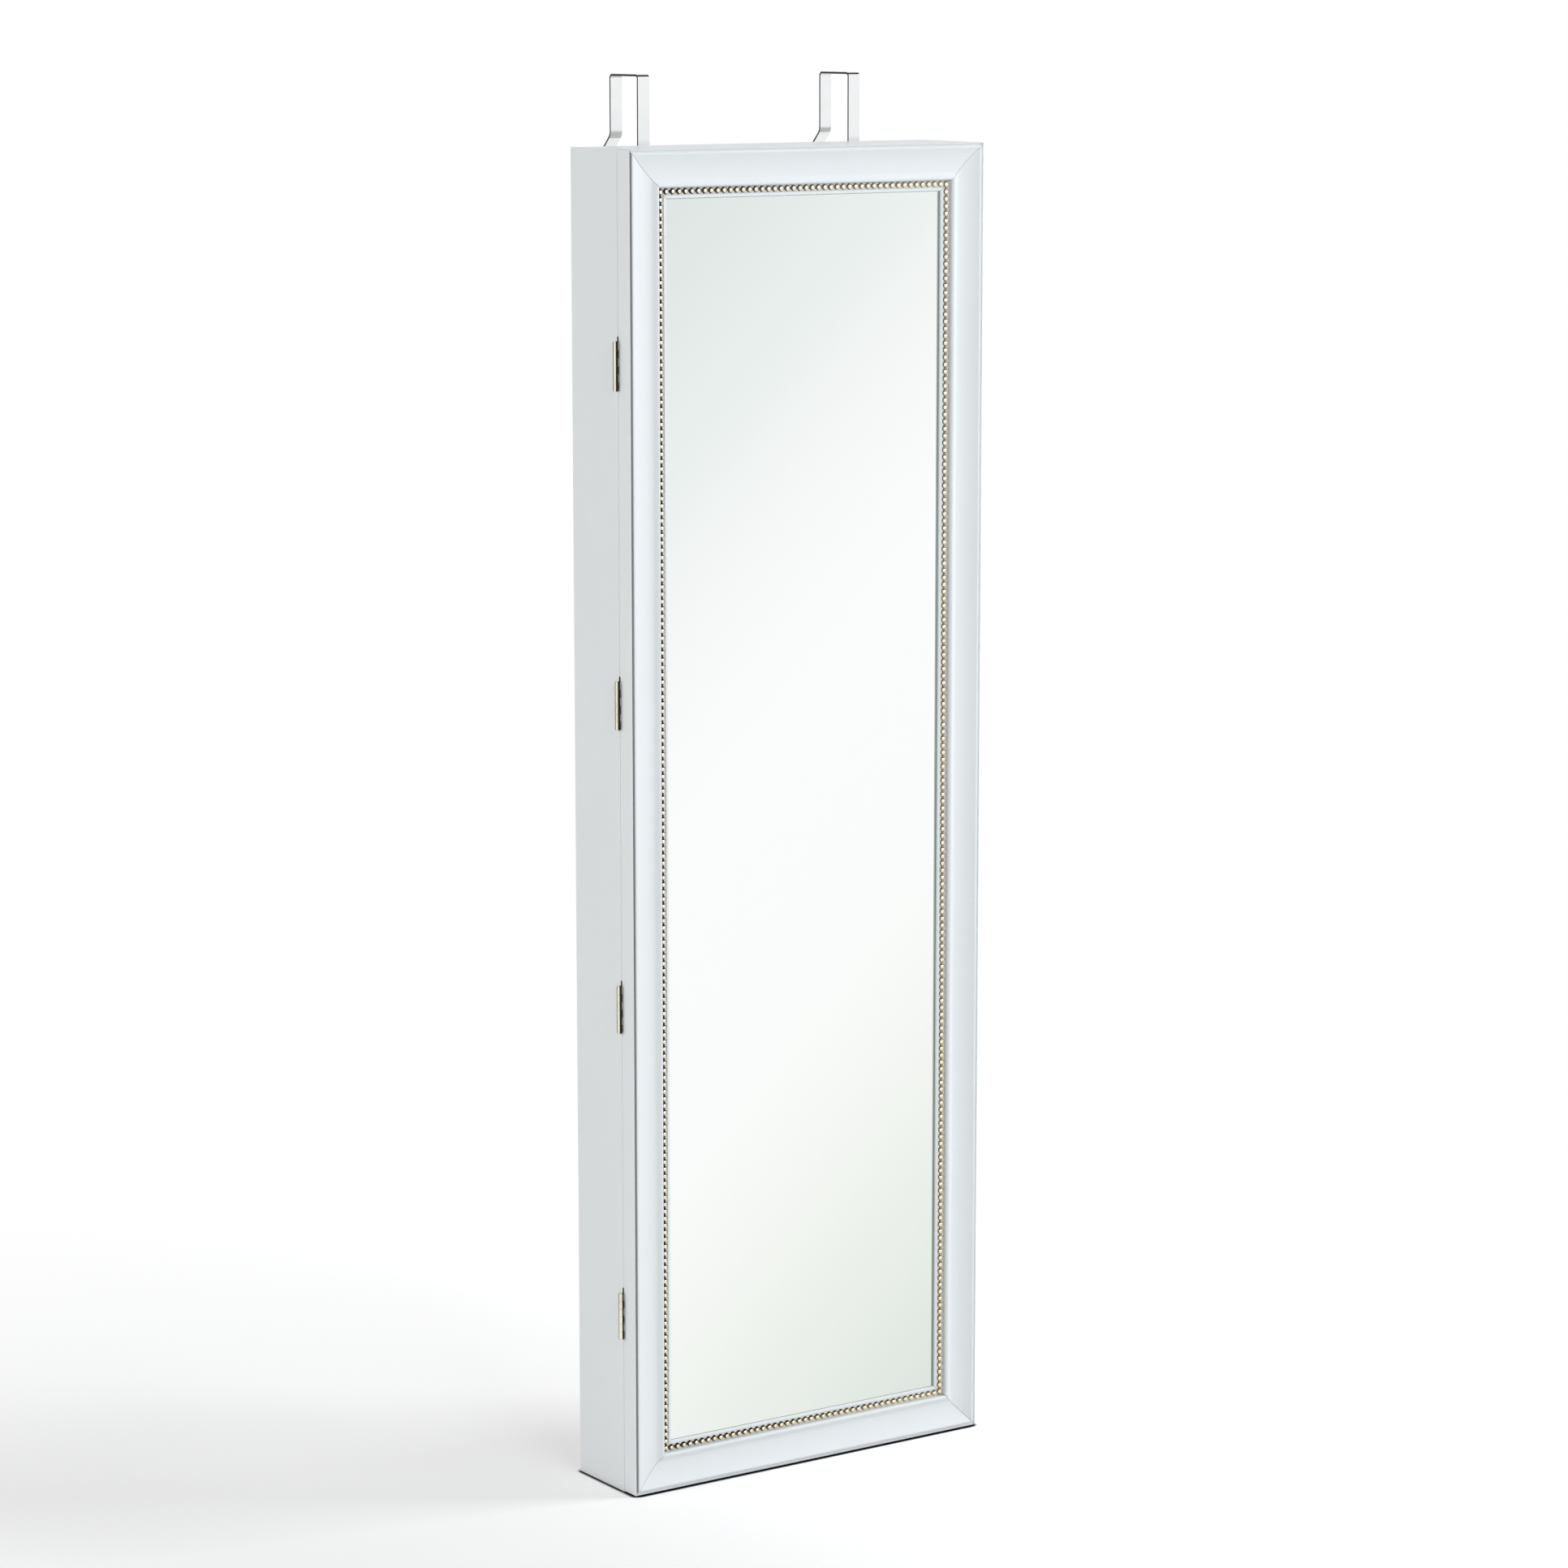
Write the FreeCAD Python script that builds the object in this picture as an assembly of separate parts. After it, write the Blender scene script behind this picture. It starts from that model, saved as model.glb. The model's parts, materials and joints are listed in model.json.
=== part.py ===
import FreeCAD, Part
import math
import os

# Jewelry mirror cabinet: a shallow lined case with a mirror door on its left edge and two
# straps on its back that hang it over a room door. Millimetres, +Z up, front towards -Y.
# The origin is the centre of the case's underside.

# --- case -------------------------------------------------------------------------------
CABINET_WIDTH = 380.0
CABINET_HEIGHT = 1200.0
CASE_DEPTH = 75.0
SIDE_THICKNESS = 12.0
BOARD_THICKNESS = 12.0        # top and bottom boards
EDGE_ROUND = 0.8              # painted outer edges
BACK_PANEL_THICKNESS = 3.0
BACK_REBATE_WIDTH = 6.0
PANEL_CLEARANCE = 0.3         # thin panels in their rebates
BACK_LINING_THICKNESS = 1.5
HANGING_RAIL_HEIGHT = 60.0
HANGING_RAIL_THICKNESS = 12.0

# --- door frame moulding: insets from the outer edge, depths from the front-most plane ----
LIP_WIDTH = 1.0
LIP_DROP = 0.6
LIP_ROUND = 0.5
GROOVE_WIDTH = 1.2
GROOVE_DEPTH = 2.4
RIM_RADIUS = 1.8
SCOOP_RUN = 20.0              # rim crest to the deepest line of the scoop
SCOOP_DEPTH = 4.8
SCOOP_FLAT = 5.0              # deepest line to the nose
NOSE_RADIUS = 2.0
NOSE_DROP = 1.6
BEAD_BASE_DEPTH = 8.2
BEAD_RADIUS = 2.75
BEAD_NECK_RADIUS = 1.2
BEAD_SIDE_CLEARANCE = 0.75
BEAD_PITCH_UPRIGHT = 6.46
BEAD_PITCH_LEVEL = 6.73
INNER_LIP_WIDTH = 2.7
INNER_LIP_RISE = 0.8
INNER_LIP_ROUND = 0.8
REBATE_COVER = 1.3            # wood between the bead channel and the mirror
REBATE_WIDTH = 6.0            # how far the mirror reaches behind the inner lip
DOOR_FLOOR_CLEARANCE = 1.0

# --- what the door frame holds ------------------------------------------------------------
MIRROR_THICKNESS = 3.0
BACKER_THICKNESS = 3.0
GLASS_CLEARANCE = 0.4
POINT_THICKNESS = 0.5
POINT_LENGTH = 9.0
POINT_WIDTH = 11.0
POINT_PITCH = 150.0
POINT_CORNER_SPACE = 60.0
DOOR_LINING_THICKNESS = 2.4
DOOR_LINING_RECESS = 0.8

# --- hinges ------------------------------------------------------------------------------
HINGE_HEIGHT_LOW = 166.5                  # leaf centres above the floor
HINGE_HEIGHT_SECOND = 447.0
HINGE_HEIGHT_THIRD = 719.0
HINGE_TOP_DROP = 184.0                    # top hinge's leaf centre below the cabinet's top
HINGE_LEAF_HEIGHT = 47.0
HINGE_LEAF_THICKNESS = 1.0
HINGE_LEAF_MARGIN = 2.0                   # case edge left beside the leaf
HINGE_LEAF_GAP = 0.2
HINGE_MORTISE_DEPTH = 0.7
HINGE_MORTISE_CLEARANCE = 0.2
HINGE_KNUCKLES = 6
HINGE_KNUCKLE_PITCH = 7.0
HINGE_KNUCKLE_GAP = 0.3
HINGE_BARREL_FOOT = 0.5
HINGE_BARREL_RADIUS = 2.3
HINGE_BARREL_CLEARANCE = 0.3
HINGE_PIN_RADIUS = 0.9
HINGE_PIN_RUNNING = 0.06                  # radial clearance in the door leaf's knuckles
HINGE_PIN_SEAT = 0.01                     # radial clearance in the case leaf's knuckles
HINGE_PIN_CAP_RADIUS = 1.9
HINGE_PIN_CAP_HEIGHT = 0.7
HINGE_PIN_CAP_GAP = 0.15
HINGE_SCREW_SPACING = 30.0
HINGE_SCREW_RADIUS = 1.2
HINGE_SCREW_HEAD_RADIUS = 2.2
HINGE_SCREW_LENGTH = 10.0

# --- over-the-door hooks --------------------------------------------------------------------
HOOK_SPACING = 227.0
HOOK_WIDTH = 12.0
HOOK_THICKNESS = 1.8
HOOK_RISE = 62.0              # top of the strap above the cabinet's top
HOOK_GAP = 43.0               # room for the door that it hangs on
HOOK_LEG_DROP = 72.0          # strap on the case's back, below the cabinet's top
HOOK_BEND_RADIUS = 2.0
HOOK_TAIL = 50.0              # straight part of the rear leg, top to kink
HOOK_KINK_ANGLE = 45.0
HOOK_KINK_RADIUS = 8.0
HOOK_LIP_LENGTH = 24.0
HOOK_SCREW_DROP = 26.0        # upper screw below the cabinet's top
HOOK_SCREW_SPACING = 32.0
HOOK_SCREW_RADIUS = 1.7
HOOK_SCREW_HEAD_RADIUS = 3.3
HOOK_SCREW_LENGTH = 14.0

# --- other screws -----------------------------------------------------------------------------
SCREW_FIT = 0.05              # radial clearance of a screw in its pilot hole
PANEL_SCREW_RADIUS = 1.2
PANEL_SCREW_HEAD_RADIUS = 2.5
PANEL_SCREW_HEAD_HEIGHT = 1.2
PANEL_SCREW_LENGTH = 12.0
PANEL_SCREW_INSET = 3.0
PANEL_SCREW_ROWS = 4
PANEL_SCREW_END_SPACE = 60.0
RECESS_WIDTH = 0.5            # cross recess in the screw heads
RECESS_DEPTH = 0.6

# --- inside --------------------------------------------------------------------------------------
FIRST_SHELF_TOP = 160.0
SHELF_SPACING = 140.0
LOWER_SHELVES = 3             # the third carries the ring cushion
SHELF_THICKNESS = 9.0
SHELF_SETBACK = 6.0
SHELF_EDGE_ROUND = 1.0
RING_SPACE_HEIGHT = 132.0
RING_ROLLS = 8
RING_CUSHION_THICKNESS = 24.0
RING_ROLL_HEIGHT = 7.0
SOFT_CLEARANCE = 0.3
GUARD_RAIL_RADIUS = 2.5
GUARD_RAIL_RISE = 32.0
GUARD_RAIL_INSET = 4.0        # rail's front to the shelf's front edge
ROD_SEAT = 4.0                # how deep the rails sit in the side boards
ROD_FIT = 0.1
BRACELET_ROD_RADIUS = 6.0
BRACELET_ROD_DROP = 34.0      # rod's axis below the shelf above it
CUP_RADIUS = 9.5
CUP_THICKNESS = 8.0
CUP_FLOOR = 1.5
DIVIDER_THICKNESS = 9.0
EARRING_BAY_WIDTH = 150.0
EARRING_POST_THICKNESS = 7.0
EARRING_POST_DEPTH = 12.0
EARRING_POST_SETBACK = 30.0   # post's front to the case's front edge
EARRING_BARS = 5
EARRING_BAR_HEIGHT = 16.0
EARRING_BAR_THICKNESS = 3.0
EARRING_SLOT_DEPTH = 4.0
EARRING_BAR_FIT = 0.2
EARRING_BOTTOM_SPACE = 80.0
EARRING_TOP_SPACE = 92.0
EARRING_NOTCH_PITCH = 11.0
EARRING_NOTCH_WIDTH = 1.6
EARRING_NOTCH_DEPTH = 6.0
EARRING_NOTCH_MARGIN = 8.0
NECKLACE_HOOKS = 8
NECKLACE_HOOK_DROP = 30.0     # below the top board
NECKLACE_END_SPACE = 16.0
NECKLACE_WIRE_RADIUS = 1.25
NECKLACE_REACH = 15.0
NECKLACE_BEND_RADIUS = 4.0
NECKLACE_TIP = 4.0
NECKLACE_COLLAR_RADIUS = 3.2
NECKLACE_COLLAR_THICKNESS = 1.2
NECKLACE_THREAD = 9.0

# --- magnetic catch --------------------------------------------------------------------------------
CATCH_SHELF_SPACE = 10.0      # below the catch's flange
CATCH_WIDTH = 12.0
CATCH_DEPTH = 14.0
CATCH_BODY_HEIGHT = 36.0
CATCH_FLANGE_HEIGHT = 58.0
CATCH_FLANGE_THICKNESS = 2.0
CATCH_CORE_WIDTH = 6.0
CATCH_CORE_HEIGHT = 26.0
CATCH_CORE_DEPTH = 10.0
CATCH_CORE_PROUD = 0.4
CATCH_GAP = 0.4
CATCH_SCREW_RADIUS = 1.2
CATCH_SCREW_HEAD_RADIUS = 2.3
CATCH_SCREW_HEAD_HEIGHT = 1.2
CATCH_SCREW_LENGTH = 11.0
STRIKE_THICKNESS = 1.0
STRIKE_WIDTH = 12.0
STRIKE_HEIGHT = 38.0

# --- worked out from the values above ----------------------------------------------------------------
HALF_WIDTH = CABINET_WIDTH / 2
INNER_HALF = HALF_WIDTH - SIDE_THICKNESS
Y_FRONT = -CASE_DEPTH / 2
Y_BACK = CASE_DEPTH / 2
Y_PANEL = Y_BACK - BACK_PANEL_THICKNESS
Y_LINING = Y_PANEL - BACK_LINING_THICKNESS
Y_RAIL = Y_PANEL - HANGING_RAIL_THICKNESS
Y_SHELF = Y_FRONT + SHELF_SETBACK
Z_INNER_TOP = CABINET_HEIGHT - BOARD_THICKNESS
Z_RAIL = Z_INNER_TOP - HANGING_RAIL_HEIGHT

RIM_INSET = LIP_WIDTH + GROOVE_WIDTH + RIM_RADIUS
NOSE_START = RIM_INSET + SCOOP_RUN + SCOOP_FLAT
CHANNEL_START = NOSE_START + 2 * NOSE_RADIUS
CHANNEL_WIDTH = 2 * (BEAD_RADIUS + BEAD_SIDE_CLEARANCE)
BEAD_INSET = CHANNEL_START + CHANNEL_WIDTH / 2
FRAME_WIDTH = CHANNEL_START + CHANNEL_WIDTH + INNER_LIP_WIDTH
REBATE_INSET = FRAME_WIDTH - REBATE_WIDTH
MIRROR_DEPTH = BEAD_BASE_DEPTH + REBATE_COVER
BACKER_DEPTH = MIRROR_DEPTH + MIRROR_THICKNESS
POINT_DEPTH = BACKER_DEPTH + BACKER_THICKNESS
LINING_DEPTH = POINT_DEPTH + POINT_THICKNESS
DOOR_THICKNESS = LINING_DEPTH + DOOR_LINING_THICKNESS + DOOR_LINING_RECESS
DOOR_HEIGHT = CABINET_HEIGHT - DOOR_FLOOR_CLEARANCE

DOOR_SEAM = 2 * (HINGE_LEAF_THICKNESS - HINGE_MORTISE_DEPTH) + HINGE_LEAF_GAP
Y_DOOR_BACK = Y_FRONT - DOOR_SEAM
Y_DOOR_FRONT = Y_DOOR_BACK - DOOR_THICKNESS
Y_HINGE = Y_FRONT - DOOR_SEAM / 2
X_HINGE = -HALF_WIDTH - HINGE_BARREL_RADIUS - HINGE_BARREL_CLEARANCE
HINGE_LEAF_WIDTH = SIDE_THICKNESS - HINGE_LEAF_MARGIN
HINGE_CENTRES = (HINGE_HEIGHT_LOW, HINGE_HEIGHT_SECOND, HINGE_HEIGHT_THIRD,
                 CABINET_HEIGHT - HINGE_TOP_DROP)
X_HINGE_SCREW = -HALF_WIDTH + HINGE_LEAF_WIDTH / 2

SHELF_LEVELS = tuple(FIRST_SHELF_TOP + shelf * SHELF_SPACING for shelf in range(LOWER_SHELVES))
RING_SHELF_TOP = SHELF_LEVELS[-1]
UPPER_SHELF_TOP = RING_SHELF_TOP + RING_SPACE_HEIGHT + SHELF_THICKNESS
SHELF_TOPS = SHELF_LEVELS + (UPPER_SHELF_TOP,)
X_DIVIDER = -INNER_HALF + EARRING_BAY_WIDTH
Y_POST = Y_FRONT + EARRING_POST_SETBACK
Z_BRACELET = RING_SHELF_TOP - SHELF_THICKNESS - BRACELET_ROD_DROP
Y_BRACELET = (Y_SHELF + Y_LINING) / 2
Y_GUARD = Y_SHELF + GUARD_RAIL_INSET + GUARD_RAIL_RADIUS
GUARD_HEIGHTS = tuple(top + GUARD_RAIL_RISE for top in (BOARD_THICKNESS,) + SHELF_LEVELS[:-1])
CATCH_CENTRE = UPPER_SHELF_TOP + CATCH_SHELF_SPACE + CATCH_FLANGE_HEIGHT / 2
Y_STRIKE = Y_DOOR_BACK + STRIKE_THICKNESS
Y_CORE = Y_STRIKE + CATCH_GAP
X_CORE = INNER_HALF - CATCH_FLANGE_THICKNESS - CATCH_WIDTH / 2


def vec(x, y, z):
    return FreeCAD.Vector(x, y, z)


def block(x0, x1, y0, y1, z0, z1):
    """Box between two corners, given in any order."""
    low = vec(min(x0, x1), min(y0, y1), min(z0, z1))
    return Part.makeBox(abs(x1 - x0), abs(y1 - y0), abs(z1 - z0), low)


def rod(radius, start, end):
    axis = end - start
    return Part.makeCylinder(radius, axis.Length, start, axis)


def round_edges(solid, radius, wanted):
    """Fillet the edges whose two ends both satisfy wanted(point)."""
    edges = [e for e in solid.Edges if all(wanted(v.Point) for v in e.Vertexes)]
    return solid.makeFillet(radius, edges)


def face_from(points_and_arcs, place):
    """Closed face from a run of 2-D points; a (through, end) pair is an arc from the last point."""
    edges = []
    here = points_and_arcs[0]
    for step in points_and_arcs[1:] + points_and_arcs[:1]:
        if isinstance(step[0], tuple):
            through, end = step
            edges.append(Part.Arc(place(*here), place(*through), place(*end)).toShape())
        else:
            end = step
            edges.append(Part.LineSegment(place(*here), place(*end)).toShape())
        here = end
    return Part.Face(Part.Wire(edges))


def screw(head, into, radius, length, head_radius, head_height=0.0):
    """Wood screw from the outer face of its head. With no head height it is countersunk."""
    if head_height:
        top = Part.makeCylinder(head_radius, head_height).cut(
            Part.makeTorus(head_radius, head_height * 0.35, vec(0, 0, 0)))
        shank_start = head_height
    else:
        top = Part.makeCone(head_radius, radius, head_radius - radius)
        shank_start = head_radius - radius
    shank = Part.makeCylinder(radius, length - shank_start - radius, vec(0, 0, shank_start))
    point = Part.makeCone(radius, radius * 0.2, radius, vec(0, 0, length - radius))
    body = top.fuse([shank, point]).removeSplitter()
    for width, height in ((RECESS_WIDTH, head_radius), (head_radius, RECESS_WIDTH)):
        body = body.cut(block(-width / 2, width / 2, -height / 2, height / 2, 0, RECESS_DEPTH))
    body.Placement = FreeCAD.Placement(head, FreeCAD.Rotation(vec(0, 0, 1), into))
    return body


def pilot(head, into, radius, length):
    """Hole for a screw's shank."""
    return rod(radius + SCREW_FIT, head, head + into * (length + SCREW_FIT))


def countersink(head, into, radius, head_radius):
    """Seat for a countersunk head, a little deeper than the head."""
    depth = head_radius - radius
    return Part.makeCone(head_radius + SCREW_FIT, radius + SCREW_FIT, depth, head, into)


# --- hinge places -------------------------------------------------------------------------------
def hinge_screw_heights():
    return [z + side * HINGE_SCREW_SPACING / 2 for z in HINGE_CENTRES for side in (-1, 1)]


def hinge_mortises(y_face, into):
    """Shallow pockets for the leaves in a wooden edge whose face is at y_face."""
    reach = HINGE_LEAF_WIDTH + HINGE_MORTISE_CLEARANCE
    half = HINGE_LEAF_HEIGHT / 2 + HINGE_MORTISE_CLEARANCE
    return [block(X_HINGE, -HALF_WIDTH + reach, y_face, y_face + into * HINGE_MORTISE_DEPTH,
                  z - half, z + half) for z in HINGE_CENTRES]


def hinge_pilots(into):
    """Pilot holes that start at the leaves' inner faces."""
    y_head = Y_HINGE + into * HINGE_LEAF_GAP / 2
    return [pilot(vec(X_HINGE_SCREW, y_head, z), vec(0, into, 0), HINGE_SCREW_RADIUS,
                  HINGE_SCREW_LENGTH) for z in hinge_screw_heights()]


def hinge_screws(into):
    y_head = Y_HINGE + into * HINGE_LEAF_GAP / 2
    return Part.makeCompound([screw(vec(X_HINGE_SCREW, y_head, z), vec(0, into, 0), HINGE_SCREW_RADIUS,
                                    HINGE_SCREW_LENGTH, HINGE_SCREW_HEAD_RADIUS)
                              for z in hinge_screw_heights()])


def knuckle_spans(centre, first):
    """Height spans of every second knuckle, starting with number first."""
    foot = centre - HINGE_LEAF_HEIGHT / 2 + HINGE_BARREL_FOOT
    spans = []
    for index in range(first, HINGE_KNUCKLES, 2):
        low = foot + index * HINGE_KNUCKLE_PITCH
        spans.append((low, low + HINGE_KNUCKLE_PITCH - HINGE_KNUCKLE_GAP))
    return spans


def hinge_leaf(centre, into, first, bore):
    """Leaf plate with its knuckles; into is +1 for the case leaf and -1 for the door leaf."""
    y_in = Y_HINGE + into * HINGE_LEAF_GAP / 2
    y_out = y_in + into * HINGE_LEAF_THICKNESS
    low, high = centre - HINGE_LEAF_HEIGHT / 2, centre + HINGE_LEAF_HEIGHT / 2
    leaf = block(-HALF_WIDTH, -HALF_WIDTH + HINGE_LEAF_WIDTH, y_in, y_out, low, high)
    for start, end in knuckle_spans(centre, first):
        barrel = rod(HINGE_BARREL_RADIUS, vec(X_HINGE, Y_HINGE, start), vec(X_HINGE, Y_HINGE, end))
        tongue = block(X_HINGE, X_HINGE_SCREW, y_in, y_out, start, end)
        leaf = leaf.fuse([barrel, tongue])
    leaf = leaf.removeSplitter()
    leaf = leaf.cut(rod(bore, vec(X_HINGE, Y_HINGE, low - HINGE_LEAF_HEIGHT),
                        vec(X_HINGE, Y_HINGE, high + HINGE_LEAF_HEIGHT)))
    for side in (-1, 1):
        head = vec(X_HINGE_SCREW, y_in, centre + side * HINGE_SCREW_SPACING / 2)
        direction = vec(0, into, 0)
        leaf = leaf.cut(countersink(head, direction, HINGE_SCREW_RADIUS, HINGE_SCREW_HEAD_RADIUS))
        leaf = leaf.cut(pilot(head, direction, HINGE_SCREW_RADIUS, HINGE_SCREW_LENGTH))
    return leaf


def hinge_pin(centre):
    """Pin through all knuckles, with a flat cap at each end."""
    foot = centre - HINGE_LEAF_HEIGHT / 2 + HINGE_BARREL_FOOT
    top = foot + HINGE_KNUCKLES * HINGE_KNUCKLE_PITCH - HINGE_KNUCKLE_GAP
    ends = ((foot - HINGE_PIN_CAP_GAP, -1), (top + HINGE_PIN_CAP_GAP, 1))
    pin = rod(HINGE_PIN_RADIUS, vec(X_HINGE, Y_HINGE, ends[0][0]), vec(X_HINGE, Y_HINGE, ends[1][0]))
    for z, way in ends:
        pin = pin.fuse(rod(HINGE_PIN_CAP_RADIUS, vec(X_HINGE, Y_HINGE, z),
                           vec(X_HINGE, Y_HINGE, z + way * HINGE_PIN_CAP_HEIGHT)))
    return pin.removeSplitter()


# --- back panel and its screws ----------------------------------------------------------------------
def back_screw_places():
    """Screw centres round the back panel, just inside its edge."""
    x_side = INNER_HALF + BACK_REBATE_WIDTH - PANEL_CLEARANCE - PANEL_SCREW_INSET
    z_low = BOARD_THICKNESS - BACK_REBATE_WIDTH + PANEL_CLEARANCE + PANEL_SCREW_INSET
    step = (CABINET_HEIGHT - 2 * PANEL_SCREW_END_SPACE) / (PANEL_SCREW_ROWS - 1)
    rows = [PANEL_SCREW_END_SPACE + row * step for row in range(PANEL_SCREW_ROWS)]
    places = [(side * x_side, z) for z in rows for side in (-1, 1)]
    return places + [(0, z_low), (0, CABINET_HEIGHT - z_low)]


def back_pilots():
    return [pilot(vec(x, Y_BACK, z), vec(0, -1, 0), PANEL_SCREW_RADIUS,
                  PANEL_SCREW_LENGTH - PANEL_SCREW_HEAD_HEIGHT) for x, z in back_screw_places()]


def back_panel_screws():
    return Part.makeCompound([screw(vec(x, Y_BACK + PANEL_SCREW_HEAD_HEIGHT, z), vec(0, -1, 0),
                                    PANEL_SCREW_RADIUS, PANEL_SCREW_LENGTH, PANEL_SCREW_HEAD_RADIUS,
                                    PANEL_SCREW_HEAD_HEIGHT) for x, z in back_screw_places()])


def hook_screw_places():
    upper = CABINET_HEIGHT - HOOK_SCREW_DROP
    return [vec(side * HOOK_SPACING / 2, Y_BACK + HOOK_THICKNESS, z)
            for side in (-1, 1) for z in (upper, upper - HOOK_SCREW_SPACING)]


def hook_pilots():
    return [pilot(head, vec(0, -1, 0), HOOK_SCREW_RADIUS, HOOK_SCREW_LENGTH)
            for head in hook_screw_places()]


def back_panel():
    half = INNER_HALF + BACK_REBATE_WIDTH - PANEL_CLEARANCE
    low = BOARD_THICKNESS - BACK_REBATE_WIDTH + PANEL_CLEARANCE
    panel = block(-half, half, Y_PANEL, Y_BACK, low, CABINET_HEIGHT - low)
    return panel.cut(back_pilots() + hook_pilots())


def back_lining():
    half = INNER_HALF - PANEL_CLEARANCE
    return block(-half, half, Y_LINING, Y_PANEL, BOARD_THICKNESS, Z_RAIL)


def hanging_rail():
    """Solid rail across the top of the back, which takes the hook screws and necklace hooks."""
    rail = block(-INNER_HALF, INNER_HALF, Y_RAIL, Y_PANEL, Z_RAIL, Z_INNER_TOP)
    threads = [pilot(vec(x, Y_RAIL, necklace_height()), vec(0, 1, 0), NECKLACE_WIRE_RADIUS,
                     NECKLACE_THREAD) for x in necklace_places()]
    return rail.cut(hook_pilots() + threads)


# --- case boards ---------------------------------------------------------------------------------------
def case_side(side):
    """Side board; side is -1 on the left, where the hinges are let in, and +1 on the right."""
    outer, inner = side * HALF_WIDTH, side * INNER_HALF
    board = block(outer, inner, Y_FRONT, Y_BACK, 0, CABINET_HEIGHT)
    board = round_edges(board, EDGE_ROUND, lambda p: abs(p.x - outer) < 1e-6)
    rebate_low = BOARD_THICKNESS - BACK_REBATE_WIDTH
    cuts = [block(inner, inner + side * BACK_REBATE_WIDTH, Y_PANEL, Y_BACK,
                  rebate_low, CABINET_HEIGHT - rebate_low)]
    cuts += back_pilots()
    for z in GUARD_HEIGHTS:
        cuts.append(rod(GUARD_RAIL_RADIUS + ROD_FIT, vec(inner, Y_GUARD, z),
                        vec(inner + side * (ROD_SEAT + ROD_FIT), Y_GUARD, z)))
    if side < 0:
        cuts += hinge_mortises(Y_FRONT, 1) + hinge_pilots(1)
    else:
        cuts += [pilot(head, vec(1, 0, 0), CATCH_SCREW_RADIUS,
                       CATCH_SCREW_LENGTH - CATCH_SCREW_HEAD_HEIGHT) for head in catch_screw_seats()]
    return board.cut(cuts)


def case_board(low, rebate_at_top):
    """Top or bottom board between the sides, rebated for the back panel."""
    board = block(-INNER_HALF, INNER_HALF, Y_FRONT, Y_BACK, low, low + BOARD_THICKNESS)
    step = low + BOARD_THICKNESS - BACK_REBATE_WIDTH if rebate_at_top else low
    rebate = block(-INNER_HALF, INNER_HALF, Y_PANEL, Y_BACK, step, step + BACK_REBATE_WIDTH)
    return board.cut([rebate] + back_pilots())


def shelf(top):
    board = block(-INNER_HALF, INNER_HALF, Y_SHELF, Y_LINING, top - SHELF_THICKNESS, top)
    return round_edges(board, SHELF_EDGE_ROUND, lambda p: abs(p.y - Y_SHELF) < 1e-6)


def upright_divider():
    """Board between the earring bay and the necklace bay, notched over the hanging rail."""
    board = block(X_DIVIDER, X_DIVIDER + DIVIDER_THICKNESS, Y_SHELF, Y_LINING,
                  UPPER_SHELF_TOP, Z_INNER_TOP)
    return board.cut(block(X_DIVIDER, X_DIVIDER + DIVIDER_THICKNESS, Y_RAIL, Y_LINING,
                           Z_RAIL, Z_INNER_TOP))


def guard_rail(z):
    reach = INNER_HALF + ROD_SEAT
    return rod(GUARD_RAIL_RADIUS, vec(-reach, Y_GUARD, z), vec(reach, Y_GUARD, z))


# --- jewelry holders -----------------------------------------------------------------------------------
def ring_cushion():
    """Padded block with level rolls; rings are pushed into the folds between them."""
    back = Y_LINING - SOFT_CLEARANCE
    low = RING_SHELF_TOP + SOFT_CLEARANCE
    high = UPPER_SHELF_TOP - SHELF_THICKNESS - SOFT_CLEARANCE
    fold = back - RING_CUSHION_THICKNESS + RING_ROLL_HEIGHT
    step = (high - low) / RING_ROLLS
    outline = [(back, low), (fold, low)]
    for roll in range(RING_ROLLS):
        start = low + roll * step
        outline.append(((fold - RING_ROLL_HEIGHT, start + step / 2), (fold, start + step)))
    outline.append((back, high))
    half = INNER_HALF - SOFT_CLEARANCE
    section = face_from(outline, lambda y, z: vec(-half, y, z))
    return section.extrude(vec(2 * half, 0, 0))


def bracelet_rod():
    reach = INNER_HALF - CUP_FLOOR - ROD_FIT
    return rod(BRACELET_ROD_RADIUS, vec(-reach, Y_BRACELET, Z_BRACELET), vec(reach, Y_BRACELET, Z_BRACELET))


def bracelet_rod_cups():
    """End sockets of the bracelet rod, one on each side board."""
    cups = []
    for side in (-1, 1):
        wall = vec(side * INNER_HALF, Y_BRACELET, Z_BRACELET)
        mouth = vec(side * (INNER_HALF - CUP_THICKNESS), Y_BRACELET, Z_BRACELET)
        floor = vec(side * (INNER_HALF - CUP_FLOOR), Y_BRACELET, Z_BRACELET)
        cups.append(rod(CUP_RADIUS, wall, mouth).cut(rod(BRACELET_ROD_RADIUS + ROD_FIT, floor, mouth)))
    return Part.makeCompound(cups)


def earring_levels():
    """Undersides of the earring bars, evenly spread over the bay's height."""
    first = UPPER_SHELF_TOP + EARRING_BOTTOM_SPACE
    last = Z_INNER_TOP - EARRING_TOP_SPACE
    step = (last - first) / (EARRING_BARS - 1)
    return [first + bar * step for bar in range(EARRING_BARS)]


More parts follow.
